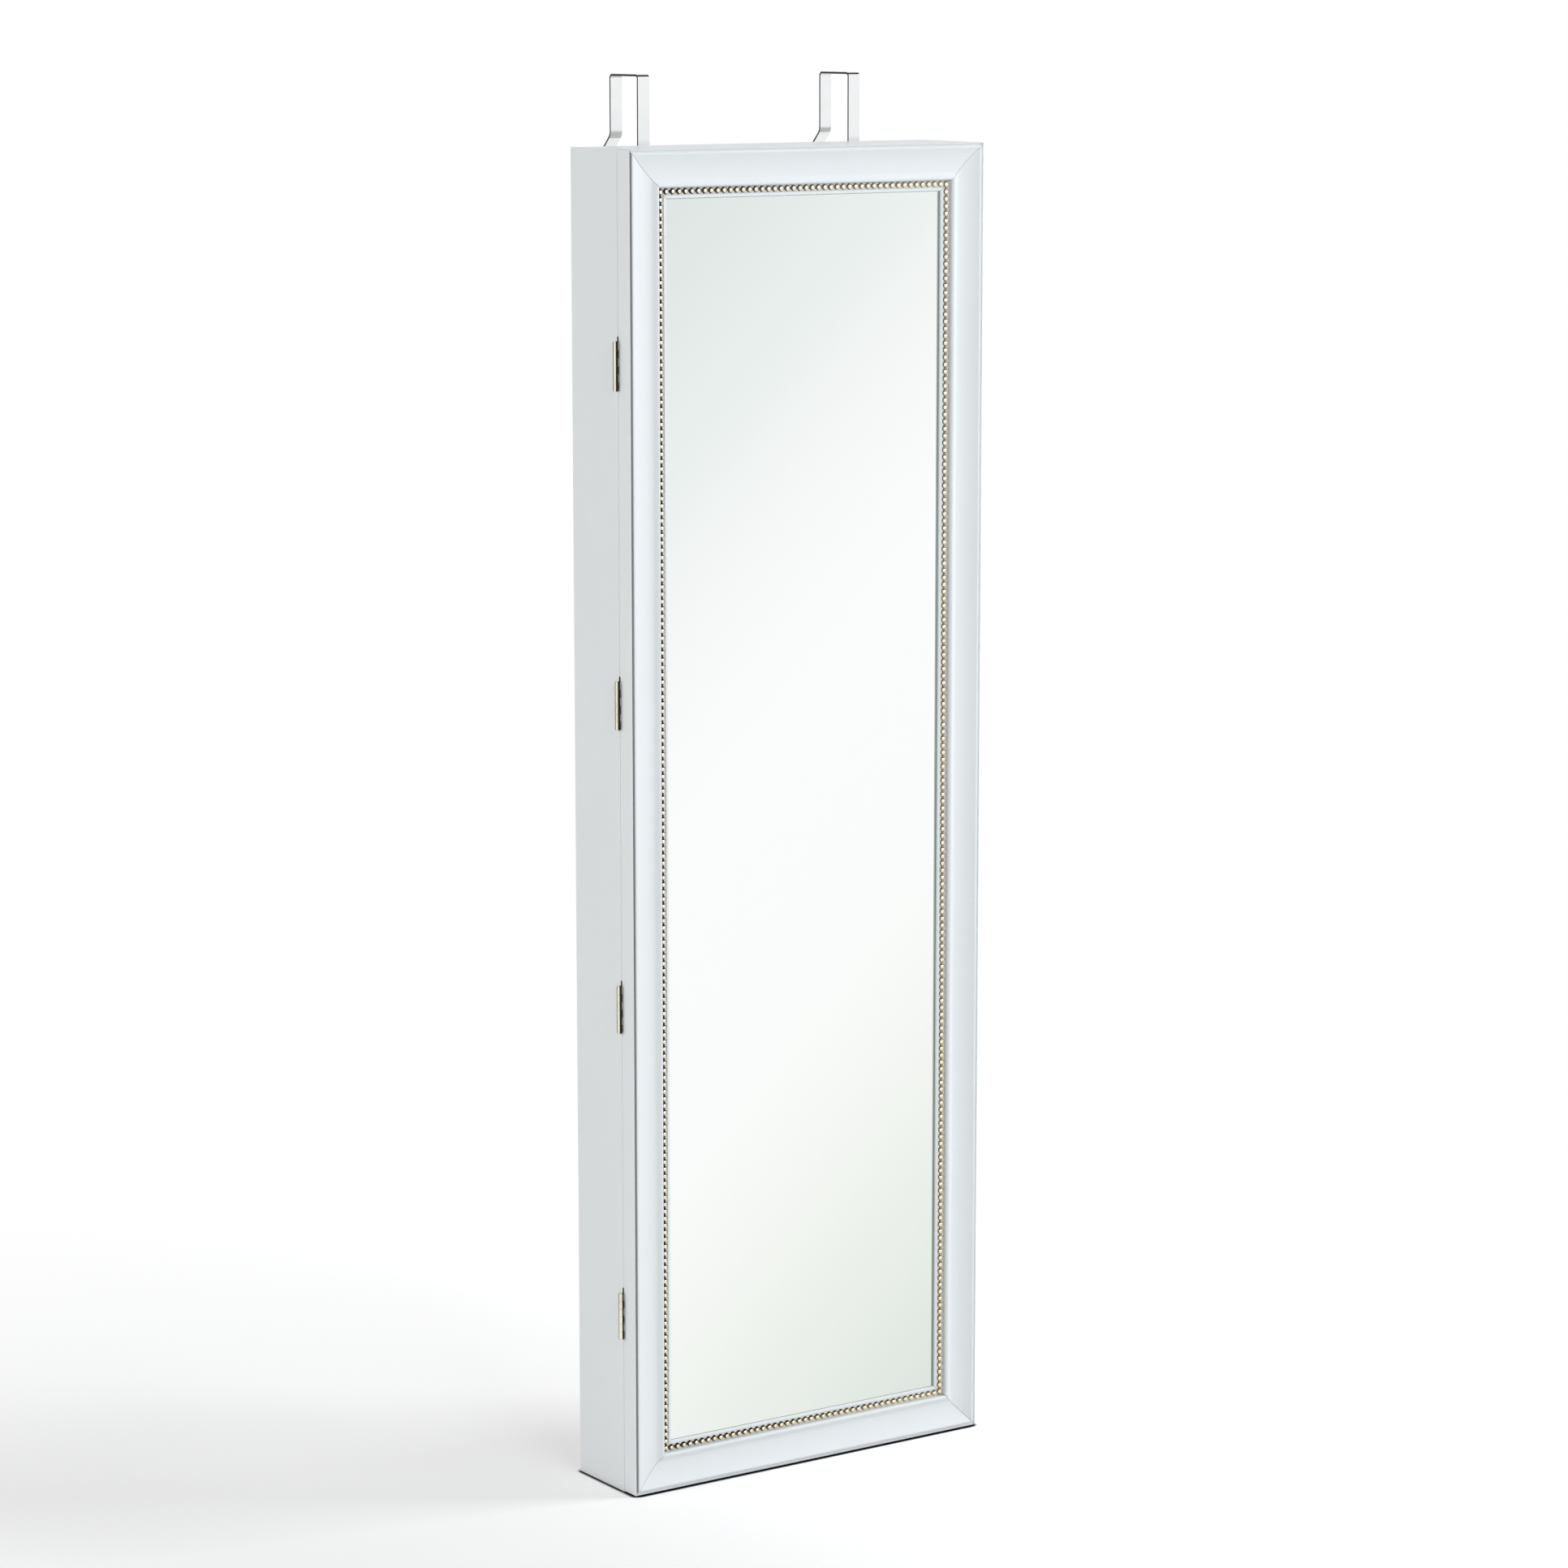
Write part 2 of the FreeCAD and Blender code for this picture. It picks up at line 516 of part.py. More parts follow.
def earring_post(x_wall, way):
    """Upright with a slot for each earring bar, on a side wall of the earring bay."""
    inner = x_wall + way * EARRING_POST_THICKNESS
    post = block(x_wall, inner, Y_POST, Y_POST + EARRING_POST_DEPTH, UPPER_SHELF_TOP, Z_INNER_TOP)
    y_mid = Y_POST + EARRING_POST_DEPTH / 2
    half = EARRING_BAR_THICKNESS / 2 + EARRING_BAR_FIT
    slots = [block(inner, inner - way * EARRING_SLOT_DEPTH, y_mid - half, y_mid + half,
                   z, z + EARRING_BAR_HEIGHT + EARRING_BAR_FIT) for z in earring_levels()]
    return post.cut(slots)


def earring_bar(z):
    """Flat bar whose top edge is notched for earring hooks."""
    seat = EARRING_POST_THICKNESS - EARRING_SLOT_DEPTH + EARRING_BAR_FIT
    x0, x1 = -INNER_HALF + seat, X_DIVIDER - seat
    y0 = Y_POST + (EARRING_POST_DEPTH - EARRING_BAR_THICKNESS) / 2
    top = z + EARRING_BAR_HEIGHT
    first = -INNER_HALF + EARRING_POST_THICKNESS + EARRING_NOTCH_MARGIN
    span = EARRING_BAY_WIDTH - 2 * (EARRING_POST_THICKNESS + EARRING_NOTCH_MARGIN)
    count = int(span / EARRING_NOTCH_PITCH)
    first += (span - count * EARRING_NOTCH_PITCH) / 2
    outline = [(x0, z), (x0, top)]
    for notch in range(count + 1):
        centre = first + notch * EARRING_NOTCH_PITCH
        left, right = centre - EARRING_NOTCH_WIDTH / 2, centre + EARRING_NOTCH_WIDTH / 2
        floor = top - EARRING_NOTCH_DEPTH
        outline += [(left, top), (left, floor), ((centre, floor - EARRING_NOTCH_WIDTH / 2), (right, floor)),
                    (right, top)]
    outline += [(x1, top), (x1, z)]
    section = face_from(outline, lambda x, height: vec(x, y0, height))
    return section.extrude(vec(0, EARRING_BAR_THICKNESS, 0))


def necklace_height():
    return Z_INNER_TOP - NECKLACE_HOOK_DROP


def necklace_places():
    """Hook centres, evenly spread over the necklace bay."""
    first = X_DIVIDER + DIVIDER_THICKNESS + NECKLACE_END_SPACE
    step = (INNER_HALF - NECKLACE_END_SPACE - first) / (NECKLACE_HOOKS - 1)
    return [first + hook * step for hook in range(NECKLACE_HOOKS)]


def necklace_hook(x):
    """Wire hook with an upturned tip, a collar at the rail and a thread in it."""
    z = necklace_height()
    y_bend = Y_RAIL - NECKLACE_REACH + NECKLACE_BEND_RADIUS
    y_tip = Y_RAIL - NECKLACE_REACH
    diagonal = NECKLACE_BEND_RADIUS * (1 - math.sqrt(0.5))
    path = Part.Wire([
        Part.LineSegment(vec(x, Y_RAIL, z), vec(x, y_bend, z)).toShape(),
        Part.Arc(vec(x, y_bend, z), vec(x, y_tip + diagonal, z + diagonal),
                 vec(x, y_tip, z + NECKLACE_BEND_RADIUS)).toShape(),
        Part.LineSegment(vec(x, y_tip, z + NECKLACE_BEND_RADIUS),
                         vec(x, y_tip, z + NECKLACE_BEND_RADIUS + NECKLACE_TIP)).toShape()])
    circle = Part.Wire(Part.makeCircle(NECKLACE_WIRE_RADIUS, vec(x, Y_RAIL, z), vec(0, 1, 0)))
    wire = path.makePipeShell([circle], True, False)
    tip = Part.makeSphere(NECKLACE_WIRE_RADIUS, vec(x, y_tip, z + NECKLACE_BEND_RADIUS + NECKLACE_TIP))
    collar = rod(NECKLACE_COLLAR_RADIUS, vec(x, Y_RAIL, z), vec(x, Y_RAIL - NECKLACE_COLLAR_THICKNESS, z))
    thread = rod(NECKLACE_WIRE_RADIUS, vec(x, Y_RAIL, z), vec(x, Y_RAIL + NECKLACE_THREAD, z))
    return wire.fuse([tip, collar, thread]).removeSplitter()


# --- magnetic catch ----------------------------------------------------------------------------------
def catch_screw_seats():
    """Centres of the catch screws where their heads meet the flange."""
    reach = (CATCH_BODY_HEIGHT + CATCH_FLANGE_HEIGHT) / 4
    y = Y_CORE + CATCH_CORE_PROUD + CATCH_DEPTH / 2
    return [vec(INNER_HALF - CATCH_FLANGE_THICKNESS, y, CATCH_CENTRE + way * reach) for way in (-1, 1)]


def catch_housing():
    y0 = Y_CORE + CATCH_CORE_PROUD
    y1 = y0 + CATCH_DEPTH
    x_flange = INNER_HALF - CATCH_FLANGE_THICKNESS
    half = CATCH_BODY_HEIGHT / 2
    body = block(x_flange - CATCH_WIDTH, x_flange, y0, y1, CATCH_CENTRE - half, CATCH_CENTRE + half)
    half = CATCH_FLANGE_HEIGHT / 2
    flange = block(x_flange, INNER_HALF, y0, y1, CATCH_CENTRE - half, CATCH_CENTRE + half)
    housing = body.fuse(flange).removeSplitter()
    pocket = block(X_CORE - CATCH_CORE_WIDTH / 2, X_CORE + CATCH_CORE_WIDTH / 2, y0, Y_CORE + CATCH_CORE_DEPTH,
                   CATCH_CENTRE - CATCH_CORE_HEIGHT / 2, CATCH_CENTRE + CATCH_CORE_HEIGHT / 2)
    holes = [rod(CATCH_SCREW_RADIUS + SCREW_FIT, seat, vec(INNER_HALF, seat.y, seat.z))
             for seat in catch_screw_seats()]
    return housing.cut([pocket] + holes)


def catch_core():
    """Magnet between its pole plates."""
    return block(X_CORE - CATCH_CORE_WIDTH / 2, X_CORE + CATCH_CORE_WIDTH / 2, Y_CORE, Y_CORE + CATCH_CORE_DEPTH,
                 CATCH_CENTRE - CATCH_CORE_HEIGHT / 2, CATCH_CENTRE + CATCH_CORE_HEIGHT / 2)


def catch_screws():
    return Part.makeCompound([screw(seat - vec(CATCH_SCREW_HEAD_HEIGHT, 0, 0), vec(1, 0, 0),
                                    CATCH_SCREW_RADIUS, CATCH_SCREW_LENGTH, CATCH_SCREW_HEAD_RADIUS,
                                    CATCH_SCREW_HEAD_HEIGHT) for seat in catch_screw_seats()])


def strike_head():
    return vec(X_CORE, Y_STRIKE, CATCH_CENTRE)


def catch_plate():
    """Steel strike plate on the back of the door's right stile."""
    plate = block(X_CORE - STRIKE_WIDTH / 2, X_CORE + STRIKE_WIDTH / 2, Y_DOOR_BACK, Y_STRIKE,
                  CATCH_CENTRE - STRIKE_HEIGHT / 2, CATCH_CENTRE + STRIKE_HEIGHT / 2)
    plate = plate.cut(countersink(strike_head(), vec(0, -1, 0), HINGE_SCREW_RADIUS, HINGE_SCREW_HEAD_RADIUS))
    return plate.cut(pilot(strike_head(), vec(0, -1, 0), HINGE_SCREW_RADIUS, HINGE_SCREW_LENGTH))


def catch_plate_screw():
    return screw(strike_head(), vec(0, -1, 0), HINGE_SCREW_RADIUS, HINGE_SCREW_LENGTH,
                 HINGE_SCREW_HEAD_RADIUS)


# --- door ------------------------------------------------------------------------------------------------
def moulding_section(place):
    """Section of the frame moulding, as (inset, depth) points and arcs."""
    centre_x, centre_d = RIM_INSET, RIM_RADIUS
    drop = SCOOP_DEPTH - RIM_RADIUS
    scoop_radius = (SCOOP_RUN ** 2 + drop ** 2 - RIM_RADIUS ** 2) / (2 * SCOOP_DEPTH)
    scoop_x, scoop_d = RIM_INSET + SCOOP_RUN, SCOOP_DEPTH - scoop_radius
    reach = RIM_RADIUS / (scoop_radius + RIM_RADIUS)
    meet = (centre_x + (scoop_x - centre_x) * reach, centre_d + (scoop_d - centre_d) * reach)

    def scoop(inset):
        return (inset, scoop_d + math.sqrt(scoop_radius ** 2 - (inset - scoop_x) ** 2))

    def on_rim(angle):
        turn = math.radians(angle)
        return (centre_x + RIM_RADIUS * math.cos(turn), centre_d - RIM_RADIUS * math.sin(turn))

    corner = LIP_ROUND * (1 - math.sqrt(0.5))
    groove_end = LIP_WIDTH + GROOVE_WIDTH
    nose_side = NOSE_DROP + NOSE_RADIUS
    channel_end = CHANNEL_START + CHANNEL_WIDTH
    lip_depth = BEAD_BASE_DEPTH - INNER_LIP_RISE
    lip_turn = INNER_LIP_ROUND * (1 - math.sqrt(0.5))
    outline = [
        (0.0, DOOR_THICKNESS), (0.0, LIP_DROP + LIP_ROUND),
        ((corner, LIP_DROP + corner), (LIP_ROUND, LIP_DROP)),
        (LIP_WIDTH, LIP_DROP), (LIP_WIDTH, GROOVE_DEPTH), (groove_end, GROOVE_DEPTH),
        (groove_end, RIM_RADIUS), (on_rim(135), on_rim(90)), (on_rim(80), meet),
        (scoop((meet[0] + NOSE_START) / 2), scoop(NOSE_START)), (NOSE_START, nose_side),
        ((NOSE_START + NOSE_RADIUS, NOSE_DROP), (CHANNEL_START, nose_side)),
        (CHANNEL_START, BEAD_BASE_DEPTH), (channel_end, BEAD_BASE_DEPTH), (channel_end, lip_depth),
        (FRAME_WIDTH - INNER_LIP_ROUND, lip_depth),
        ((FRAME_WIDTH - lip_turn, lip_depth + lip_turn), (FRAME_WIDTH, lip_depth + INNER_LIP_ROUND)),
        (FRAME_WIDTH, MIRROR_DEPTH), (REBATE_INSET, MIRROR_DEPTH), (REBATE_INSET, DOOR_THICKNESS)]
    return face_from(outline, place)


def to_side(shape, turn):
    """Turn a piece made for the left stile, centred on the door, to another side of the frame."""
    shape.rotate(vec(0, 0, 0), vec(0, 1, 0), turn)
    shape.translate(vec(0, Y_DOOR_FRONT, DOOR_FLOOR_CLEARANCE + DOOR_HEIGHT / 2))
    return shape


def frame_bar(length, across, turn):
    """Mitred moulding of the given outer length; across is the frame's size the other way."""
    edge = -across / 2
    section = moulding_section(lambda inset, depth: vec(edge + inset, depth, -length / 2))
    bar = section.extrude(vec(0, 0, length))
    half = length / 2
    trapezoid = [vec(edge, 0, -half), vec(edge, 0, half), vec(edge + FRAME_WIDTH, 0, half - FRAME_WIDTH),
                 vec(edge + FRAME_WIDTH, 0, FRAME_WIDTH - half)]
    mitre = Part.Face(Part.makePolygon(trapezoid + trapezoid[:1])).extrude(vec(0, DOOR_THICKNESS, 0))
    return to_side(bar.common(mitre), turn)


def bead_string(length, across, pitch, turn):
    """Half-round beads on a thin neck, flat side down in the moulding's channel."""
    count = max(2, round(length / pitch))
    step = length / count
    neck = math.sqrt(BEAD_RADIUS ** 2 - BEAD_NECK_RADIUS ** 2)
    x_axis = -across / 2 + BEAD_INSET
    outline = [(0.0, -length / 2), (BEAD_NECK_RADIUS, -length / 2)]
    for bead in range(count):
        middle = -length / 2 + (bead + 0.5) * step
        outline += [(BEAD_NECK_RADIUS, middle - neck),
                    ((BEAD_RADIUS, middle), (BEAD_NECK_RADIUS, middle + neck))]
    outline += [(BEAD_NECK_RADIUS, length / 2), (0.0, length / 2)]
    section = face_from(outline, lambda radius, z: vec(x_axis + radius, BEAD_BASE_DEPTH, z))
    string = section.revolve(vec(x_axis, BEAD_BASE_DEPTH, 0), vec(0, 0, 1), -180)
    return to_side(string, turn)


def filled_opening(depth, thickness, clearance):
    """Flat panel in the frame's rebate, from depth backwards."""
    half = HALF_WIDTH - REBATE_INSET - clearance
    edge = REBATE_INSET + clearance
    y0 = Y_DOOR_FRONT + depth
    return block(-half, half, y0, y0 + thickness, DOOR_FLOOR_CLEARANCE + edge, CABINET_HEIGHT - edge)


def glazier_points():
    """Thin steel points that hold the backer in the rebate."""
    y0 = Y_DOOR_FRONT + POINT_DEPTH
    x_wall = HALF_WIDTH - REBATE_INSET
    z_low, z_high = DOOR_FLOOR_CLEARANCE + REBATE_INSET, CABINET_HEIGHT - REBATE_INSET
    points = []
    rows = int((z_high - z_low - 2 * POINT_CORNER_SPACE) / POINT_PITCH)
    step = (z_high - z_low - 2 * POINT_CORNER_SPACE) / rows
    for row in range(rows + 1):
        z = z_low + POINT_CORNER_SPACE + row * step
        for side in (-1, 1):
            points.append(block(side * x_wall, side * (x_wall - POINT_LENGTH), y0, y0 + POINT_THICKNESS,
                                z - POINT_WIDTH / 2, z + POINT_WIDTH / 2))
    for z_wall, way in ((z_low, 1), (z_high, -1)):
        for x in (POINT_CORNER_SPACE - x_wall, x_wall - POINT_CORNER_SPACE):
            points.append(block(x - POINT_WIDTH / 2, x + POINT_WIDTH / 2, y0, y0 + POINT_THICKNESS,
                                z_wall, z_wall + way * POINT_LENGTH))
    return Part.makeCompound(points)


# --- hooks -----------------------------------------------------------------------------------------------
def strap_section(moves, start, heading, thickness, place):
    """Section of a bent strap. moves are ("go", length) or ("turn", degrees, radius), followed
    along one face of the strap, with its thickness on the left; a left turn is positive."""
    def side(offset):
        y, z = start
        angle = heading
        steps = [(y - offset * math.sin(angle), z + offset * math.cos(angle))]
        for move in moves:
            if move[0] == "go":
                y, z = y + move[1] * math.cos(angle), z + move[1] * math.sin(angle)
                steps.append((y - offset * math.sin(angle), z + offset * math.cos(angle)))
                continue
            turn = math.radians(move[1])
            way = math.copysign(1, turn)
            centre = (y - way * move[2] * math.sin(angle), z + way * move[2] * math.cos(angle))
            radius = move[2] - way * offset

            def at(fraction):
                here = angle + turn * fraction
                return (centre[0] + way * radius * math.sin(here), centre[1] - way * radius * math.cos(here))

            steps.append((at(0.5), at(1.0)))
            angle += turn
            y = centre[0] + way * move[2] * math.sin(angle)
            z = centre[1] - way * move[2] * math.cos(angle)
        return steps

    near, far = side(0.0), side(thickness)
    ends = [step[1] if isinstance(step[0], tuple) else step for step in far]
    back = [ends[-1]]
    for index in range(len(far) - 1, 0, -1):
        step = far[index]
        back.append((step[0], ends[index - 1]) if isinstance(step[0], tuple) else ends[index - 1])
    return face_from(near + back, place)


def door_hook(side):
    """Bent strap: up the case's back, over the door's top and down behind it, with a flared lip."""
    leg = HOOK_LEG_DROP + HOOK_RISE - HOOK_THICKNESS - HOOK_BEND_RADIUS
    moves = [("go", leg), ("turn", -90, HOOK_BEND_RADIUS), ("go", HOOK_GAP - 2 * HOOK_BEND_RADIUS),
             ("turn", -90, HOOK_BEND_RADIUS), ("go", HOOK_TAIL - HOOK_THICKNESS - HOOK_BEND_RADIUS),
             ("turn", HOOK_KINK_ANGLE, HOOK_KINK_RADIUS + HOOK_THICKNESS), ("go", HOOK_LIP_LENGTH)]
    x0 = side * HOOK_SPACING / 2 - HOOK_WIDTH / 2
    start = (Y_BACK + HOOK_THICKNESS, CABINET_HEIGHT - HOOK_LEG_DROP)
    section = strap_section(moves, start, math.pi / 2, HOOK_THICKNESS, lambda y, z: vec(x0, y, z))
    strap = section.extrude(vec(HOOK_WIDTH, 0, 0))
    for head in hook_screw_places():
        strap = strap.cut(countersink(head, vec(0, -1, 0), HOOK_SCREW_RADIUS, HOOK_SCREW_HEAD_RADIUS))
        strap = strap.cut(pilot(head, vec(0, -1, 0), HOOK_SCREW_RADIUS, HOOK_SCREW_LENGTH))
    return strap


def hook_screws():
    return Part.makeCompound([screw(head, vec(0, -1, 0), HOOK_SCREW_RADIUS, HOOK_SCREW_LENGTH,
                                    HOOK_SCREW_HEAD_RADIUS) for head in hook_screw_places()])


# --- all pieces -------------------------------------------------------------------------------------------
def case_pieces():
    pieces = {
        "case_side_left": case_side(-1),
        "case_side_right": case_side(1),
        "case_top": case_board(Z_INNER_TOP, False),
        "case_bottom": case_board(0.0, True),
        "back_panel": back_panel(),
        "back_panel_screws": back_panel_screws(),
        "back_lining": back_lining(),
        "hanging_rail": hanging_rail(),
        "upright_divider": upright_divider(),
        "ring_cushion": ring_cushion(),
        "bracelet_rod": bracelet_rod(),
        "bracelet_rod_cups": bracelet_rod_cups(),
        "earring_post_left": earring_post(-INNER_HALF, 1),
        "earring_post_right": earring_post(X_DIVIDER, -1),
        "necklace_hooks": Part.makeCompound([necklace_hook(x) for x in necklace_places()]),
        "catch_housing": catch_housing(),
        "catch_core": catch_core(),
        "catch_screws": catch_screws(),
        "door_hook_left": door_hook(-1),
        "door_hook_right": door_hook(1),
        "hook_screws": hook_screws(),
        "hinge_pins": Part.makeCompound([hinge_pin(z) for z in HINGE_CENTRES]),
        "hinge_case_screws": hinge_screws(1),
    }
    for number, top in enumerate(SHELF_TOPS, 1):
        pieces[f"shelf_{number}"] = shelf(top)
    for number, z in enumerate(GUARD_HEIGHTS, 1):
        pieces[f"guard_rail_{number}"] = guard_rail(z)
    for number, z in enumerate(earring_levels(), 1):
        pieces[f"earring_bar_{number}"] = earring_bar(z)
    for number, z in enumerate(HINGE_CENTRES, 1):
        pieces[f"hinge_{number}_case_leaf"] = hinge_leaf(z, 1, 0, HINGE_PIN_RADIUS + HINGE_PIN_SEAT)
    return pieces


def door_pieces():
    upright_beads = DOOR_HEIGHT - 2 * (BEAD_INSET - BEAD_RADIUS)
    level_beads = CABINET_WIDTH - 2 * (BEAD_INSET + BEAD_RADIUS)
    left = frame_bar(DOOR_HEIGHT, CABINET_WIDTH, 0)
    right = frame_bar(DOOR_HEIGHT, CABINET_WIDTH, 180)
    strike_pilot = pilot(strike_head(), vec(0, -1, 0), HINGE_SCREW_RADIUS, HINGE_SCREW_LENGTH)
    pieces = {
        "door_frame_left": left.cut(hinge_mortises(Y_DOOR_BACK, -1) + hinge_pilots(-1)),
        "door_frame_right": right.cut(strike_pilot),
        "door_frame_top": frame_bar(CABINET_WIDTH, DOOR_HEIGHT, 90),
        "door_frame_bottom": frame_bar(CABINET_WIDTH, DOOR_HEIGHT, -90),
        "bead_trim_left": bead_string(upright_beads, CABINET_WIDTH, BEAD_PITCH_UPRIGHT, 0),
        "bead_trim_right": bead_string(upright_beads, CABINET_WIDTH, BEAD_PITCH_UPRIGHT, 180),
        "bead_trim_top": bead_string(level_beads, DOOR_HEIGHT, BEAD_PITCH_LEVEL, 90),
        "bead_trim_bottom": bead_string(level_beads, DOOR_HEIGHT, BEAD_PITCH_LEVEL, -90),
        "mirror_glass": filled_opening(MIRROR_DEPTH, MIRROR_THICKNESS, GLASS_CLEARANCE),
        "mirror_backer": filled_opening(BACKER_DEPTH, BACKER_THICKNESS, GLASS_CLEARANCE),
        "glazier_points": glazier_points(),
        "door_lining": filled_opening(LINING_DEPTH, DOOR_LINING_THICKNESS, PANEL_CLEARANCE),
        "catch_plate": catch_plate(),
        "catch_plate_screw": catch_plate_screw(),
        "hinge_door_screws": hinge_screws(-1),
    }
    for number, z in enumerate(HINGE_CENTRES, 1):
        pieces[f"hinge_{number}_door_leaf"] = hinge_leaf(z, -1, 1, HINGE_PIN_RADIUS + HINGE_PIN_RUNNING)
    return pieces


def main():
    os.makedirs("parts", exist_ok=True)
    pieces = {**case_pieces(), **door_pieces()}
    for name, shape in pieces.items():
        shape.exportStep(f"parts/{name}.step")
        box = shape.BoundBox
        print(f"{name:22s} solids {len(shape.Solids):3d} valid {shape.isValid()} "
              f"volume {shape.Volume:12.1f}  x {box.XMin:8.2f} {box.XMax:8.2f}"
              f"  y {box.YMin:7.2f} {box.YMax:7.2f}  z {box.ZMin:8.2f} {box.ZMax:8.2f}")
    print(len(pieces), "pieces")


main()
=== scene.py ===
import json
import math

import bmesh
import bpy
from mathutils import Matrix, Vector


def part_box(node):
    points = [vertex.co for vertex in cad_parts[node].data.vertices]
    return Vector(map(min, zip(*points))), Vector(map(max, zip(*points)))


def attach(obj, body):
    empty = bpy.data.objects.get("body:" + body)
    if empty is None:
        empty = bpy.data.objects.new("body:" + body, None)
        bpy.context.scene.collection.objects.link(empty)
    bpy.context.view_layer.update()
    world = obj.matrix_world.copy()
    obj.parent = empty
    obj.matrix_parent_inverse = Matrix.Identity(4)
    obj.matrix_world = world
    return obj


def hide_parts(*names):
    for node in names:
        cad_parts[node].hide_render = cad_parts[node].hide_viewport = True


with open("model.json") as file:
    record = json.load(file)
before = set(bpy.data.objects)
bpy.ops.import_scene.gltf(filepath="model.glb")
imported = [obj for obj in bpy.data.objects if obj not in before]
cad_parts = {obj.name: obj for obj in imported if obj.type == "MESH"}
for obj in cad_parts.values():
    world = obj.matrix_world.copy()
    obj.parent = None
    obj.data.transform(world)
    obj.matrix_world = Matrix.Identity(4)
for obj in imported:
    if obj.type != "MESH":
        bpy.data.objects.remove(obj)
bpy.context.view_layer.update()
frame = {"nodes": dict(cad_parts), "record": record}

# Looks for a mirror cabinet: a shallow white case with a framed mirror door, hung by two straps.
# Metres in the CAD's frame: +Z up, the mirror faces -Y, the hinges are on -X.

NODES = frame["nodes"]
MM = 0.001

# --- camera: metres, radians and a lens in millimetres ---
CAMERA_PLACE = (-2.3711, -3.4604, 1.3301)
CAMERA_YAW = 0.6028           # turned right from looking along +Y
CAMERA_PITCH = 0.1668         # and down
CAMERA_LENS = 107.48

# --- door frame, in millimetres ---
DOOR_HALF_WIDTH = 190.0
DOOR_FOOT, DOOR_HEAD = 1.0, 1200.0
DOOR_MIDDLE = (DOOR_FOOT + DOOR_HEAD) / 2
DOOR_FACE = -57.5
DOOR_THICKNESS = 19.2
FRAME_WIDTH = 42.7
MITRE_LINE = 0.25             # how far each bar stops short of the mitre, along its length
QUIRK = 1.9                   # depth of the groove beside the outer lip
HINGE_QUIRK = 6.0             # and on the hinge side
GROOVE_SHADE_MIDDLE = (1.8, 3.8)      # painted shade in the hinge side's groove: inset and depth of its middle,
GROOVE_SHADE_REACH = (1.15, 2.9)      # and how far it reaches from there
# colour of the painted shade in that groove
GROOVE_SHADE = (0.66, 0.64, 0.64, 1)

# --- gilded beads, in millimetres ---
BEAD_LINE = 153.5             # X of the right upright string; the left one lies at -X
BEAD_REACH = 2.9              # no bead reaches further to the side of that line
BEAD_FLOOR = -49.3            # Y of the flat backs of the half-round beads
BEAD_CROWN = -51.3            # Y where the painted shade of the hollows begins on the left string,
BEAD_HOLLOW = -50.9           # and where it is full
BEAD_SHADE_STEP = 0.8              # how much further back it begins on the right string
BEAD_SHADE_NOISE = 0.5           # uneven edge: it begins up to this much further forward
# colours of the painted shade and painted dark reflections, darker on the left string than on the
# right
BEAD_SHADE_LEFT = (0.05, 0.04, 0.035, 1)
BEAD_SHADE_RIGHT = (0.24, 0.19, 0.11, 1)
FLANK_WAY = (-0.824, 0.567)   # X and Y of the way that the flanks with painted shade face
FLANK_START, FLANK_FULL = 1.0, 1.2
STRING_SIDES = 0.15           # metres: the painted shade goes from left to right tone between -X and X
WARM_FROM, WARM_TO = 0.9, 0.1     # metres: the gilding is warmer towards the foot
WARM_SHARE = 0.45
WARM_GILDING = (0.92, 0.70, 0.34, 1)

# --- hinges, in millimetres ---
HINGE_AXIS = (-192.6, -37.9)  # X and Y
CORNER_WAY = (0.82, -0.57)    # X and Y of the way from the axis to the corner beside the door
CORNER_START = (1.2, 0.35)    # where the painted shade of that corner begins, low and high on the case
CORNER_LEVELS = (0.25, 0.4)   # metres above the case's foot: low up to here, high from here on
KNUCKLE_RADIUS = 2.4
# colour of the painted shade in that corner
CORNER_SHADE = (0.05, 0.045, 0.04, 1)

# --- mirror, in millimetres ---
EDGE_BAND_SIDES = 1.4         # painted shade along the mirror's edge, for the shaded rebate under the lip seen through the glass: the mean of its left and right widths
EDGE_BAND_SHIFT = 1.0         # how far the clear part is moved to the left
EDGE_BAND_ENDS = 0.35
EDGE_BAND_BLUR = 0.2
# colour of the painted shade, tinted the green of the glass
EDGE_BAND_SHADE = (0.36, 0.41, 0.38, 1)

# --- ring cushion, in millimetres ---
CUSHION_ROLLS = 8
CUSHION_ENDS = 3.2            # how far the rounded ends stand out past the rolls
END_STEPS = ((0.5, 1.5), (1.0, 1.1), (1.4, 0.6))    # each step's inset and how far it stands out
ROLL_HEIGHT = 7.0
ROLL_STEPS = 12
ROLL_FULLNESS = 0.62          # 1 gives a round roll, less a fuller one
ROLL_CUTS = 110               # along the roll, so that the creases have points to move
CREASE_ZERO = 0.8             # the noise's level that moves nothing
SLACK = (0.035, 1.6)          # metres between the creases, and their height
WRINKLES = (0.009, 0.7)

# --- velvet boards, in millimetres ---
VELVET_ROUNDING = 1.1

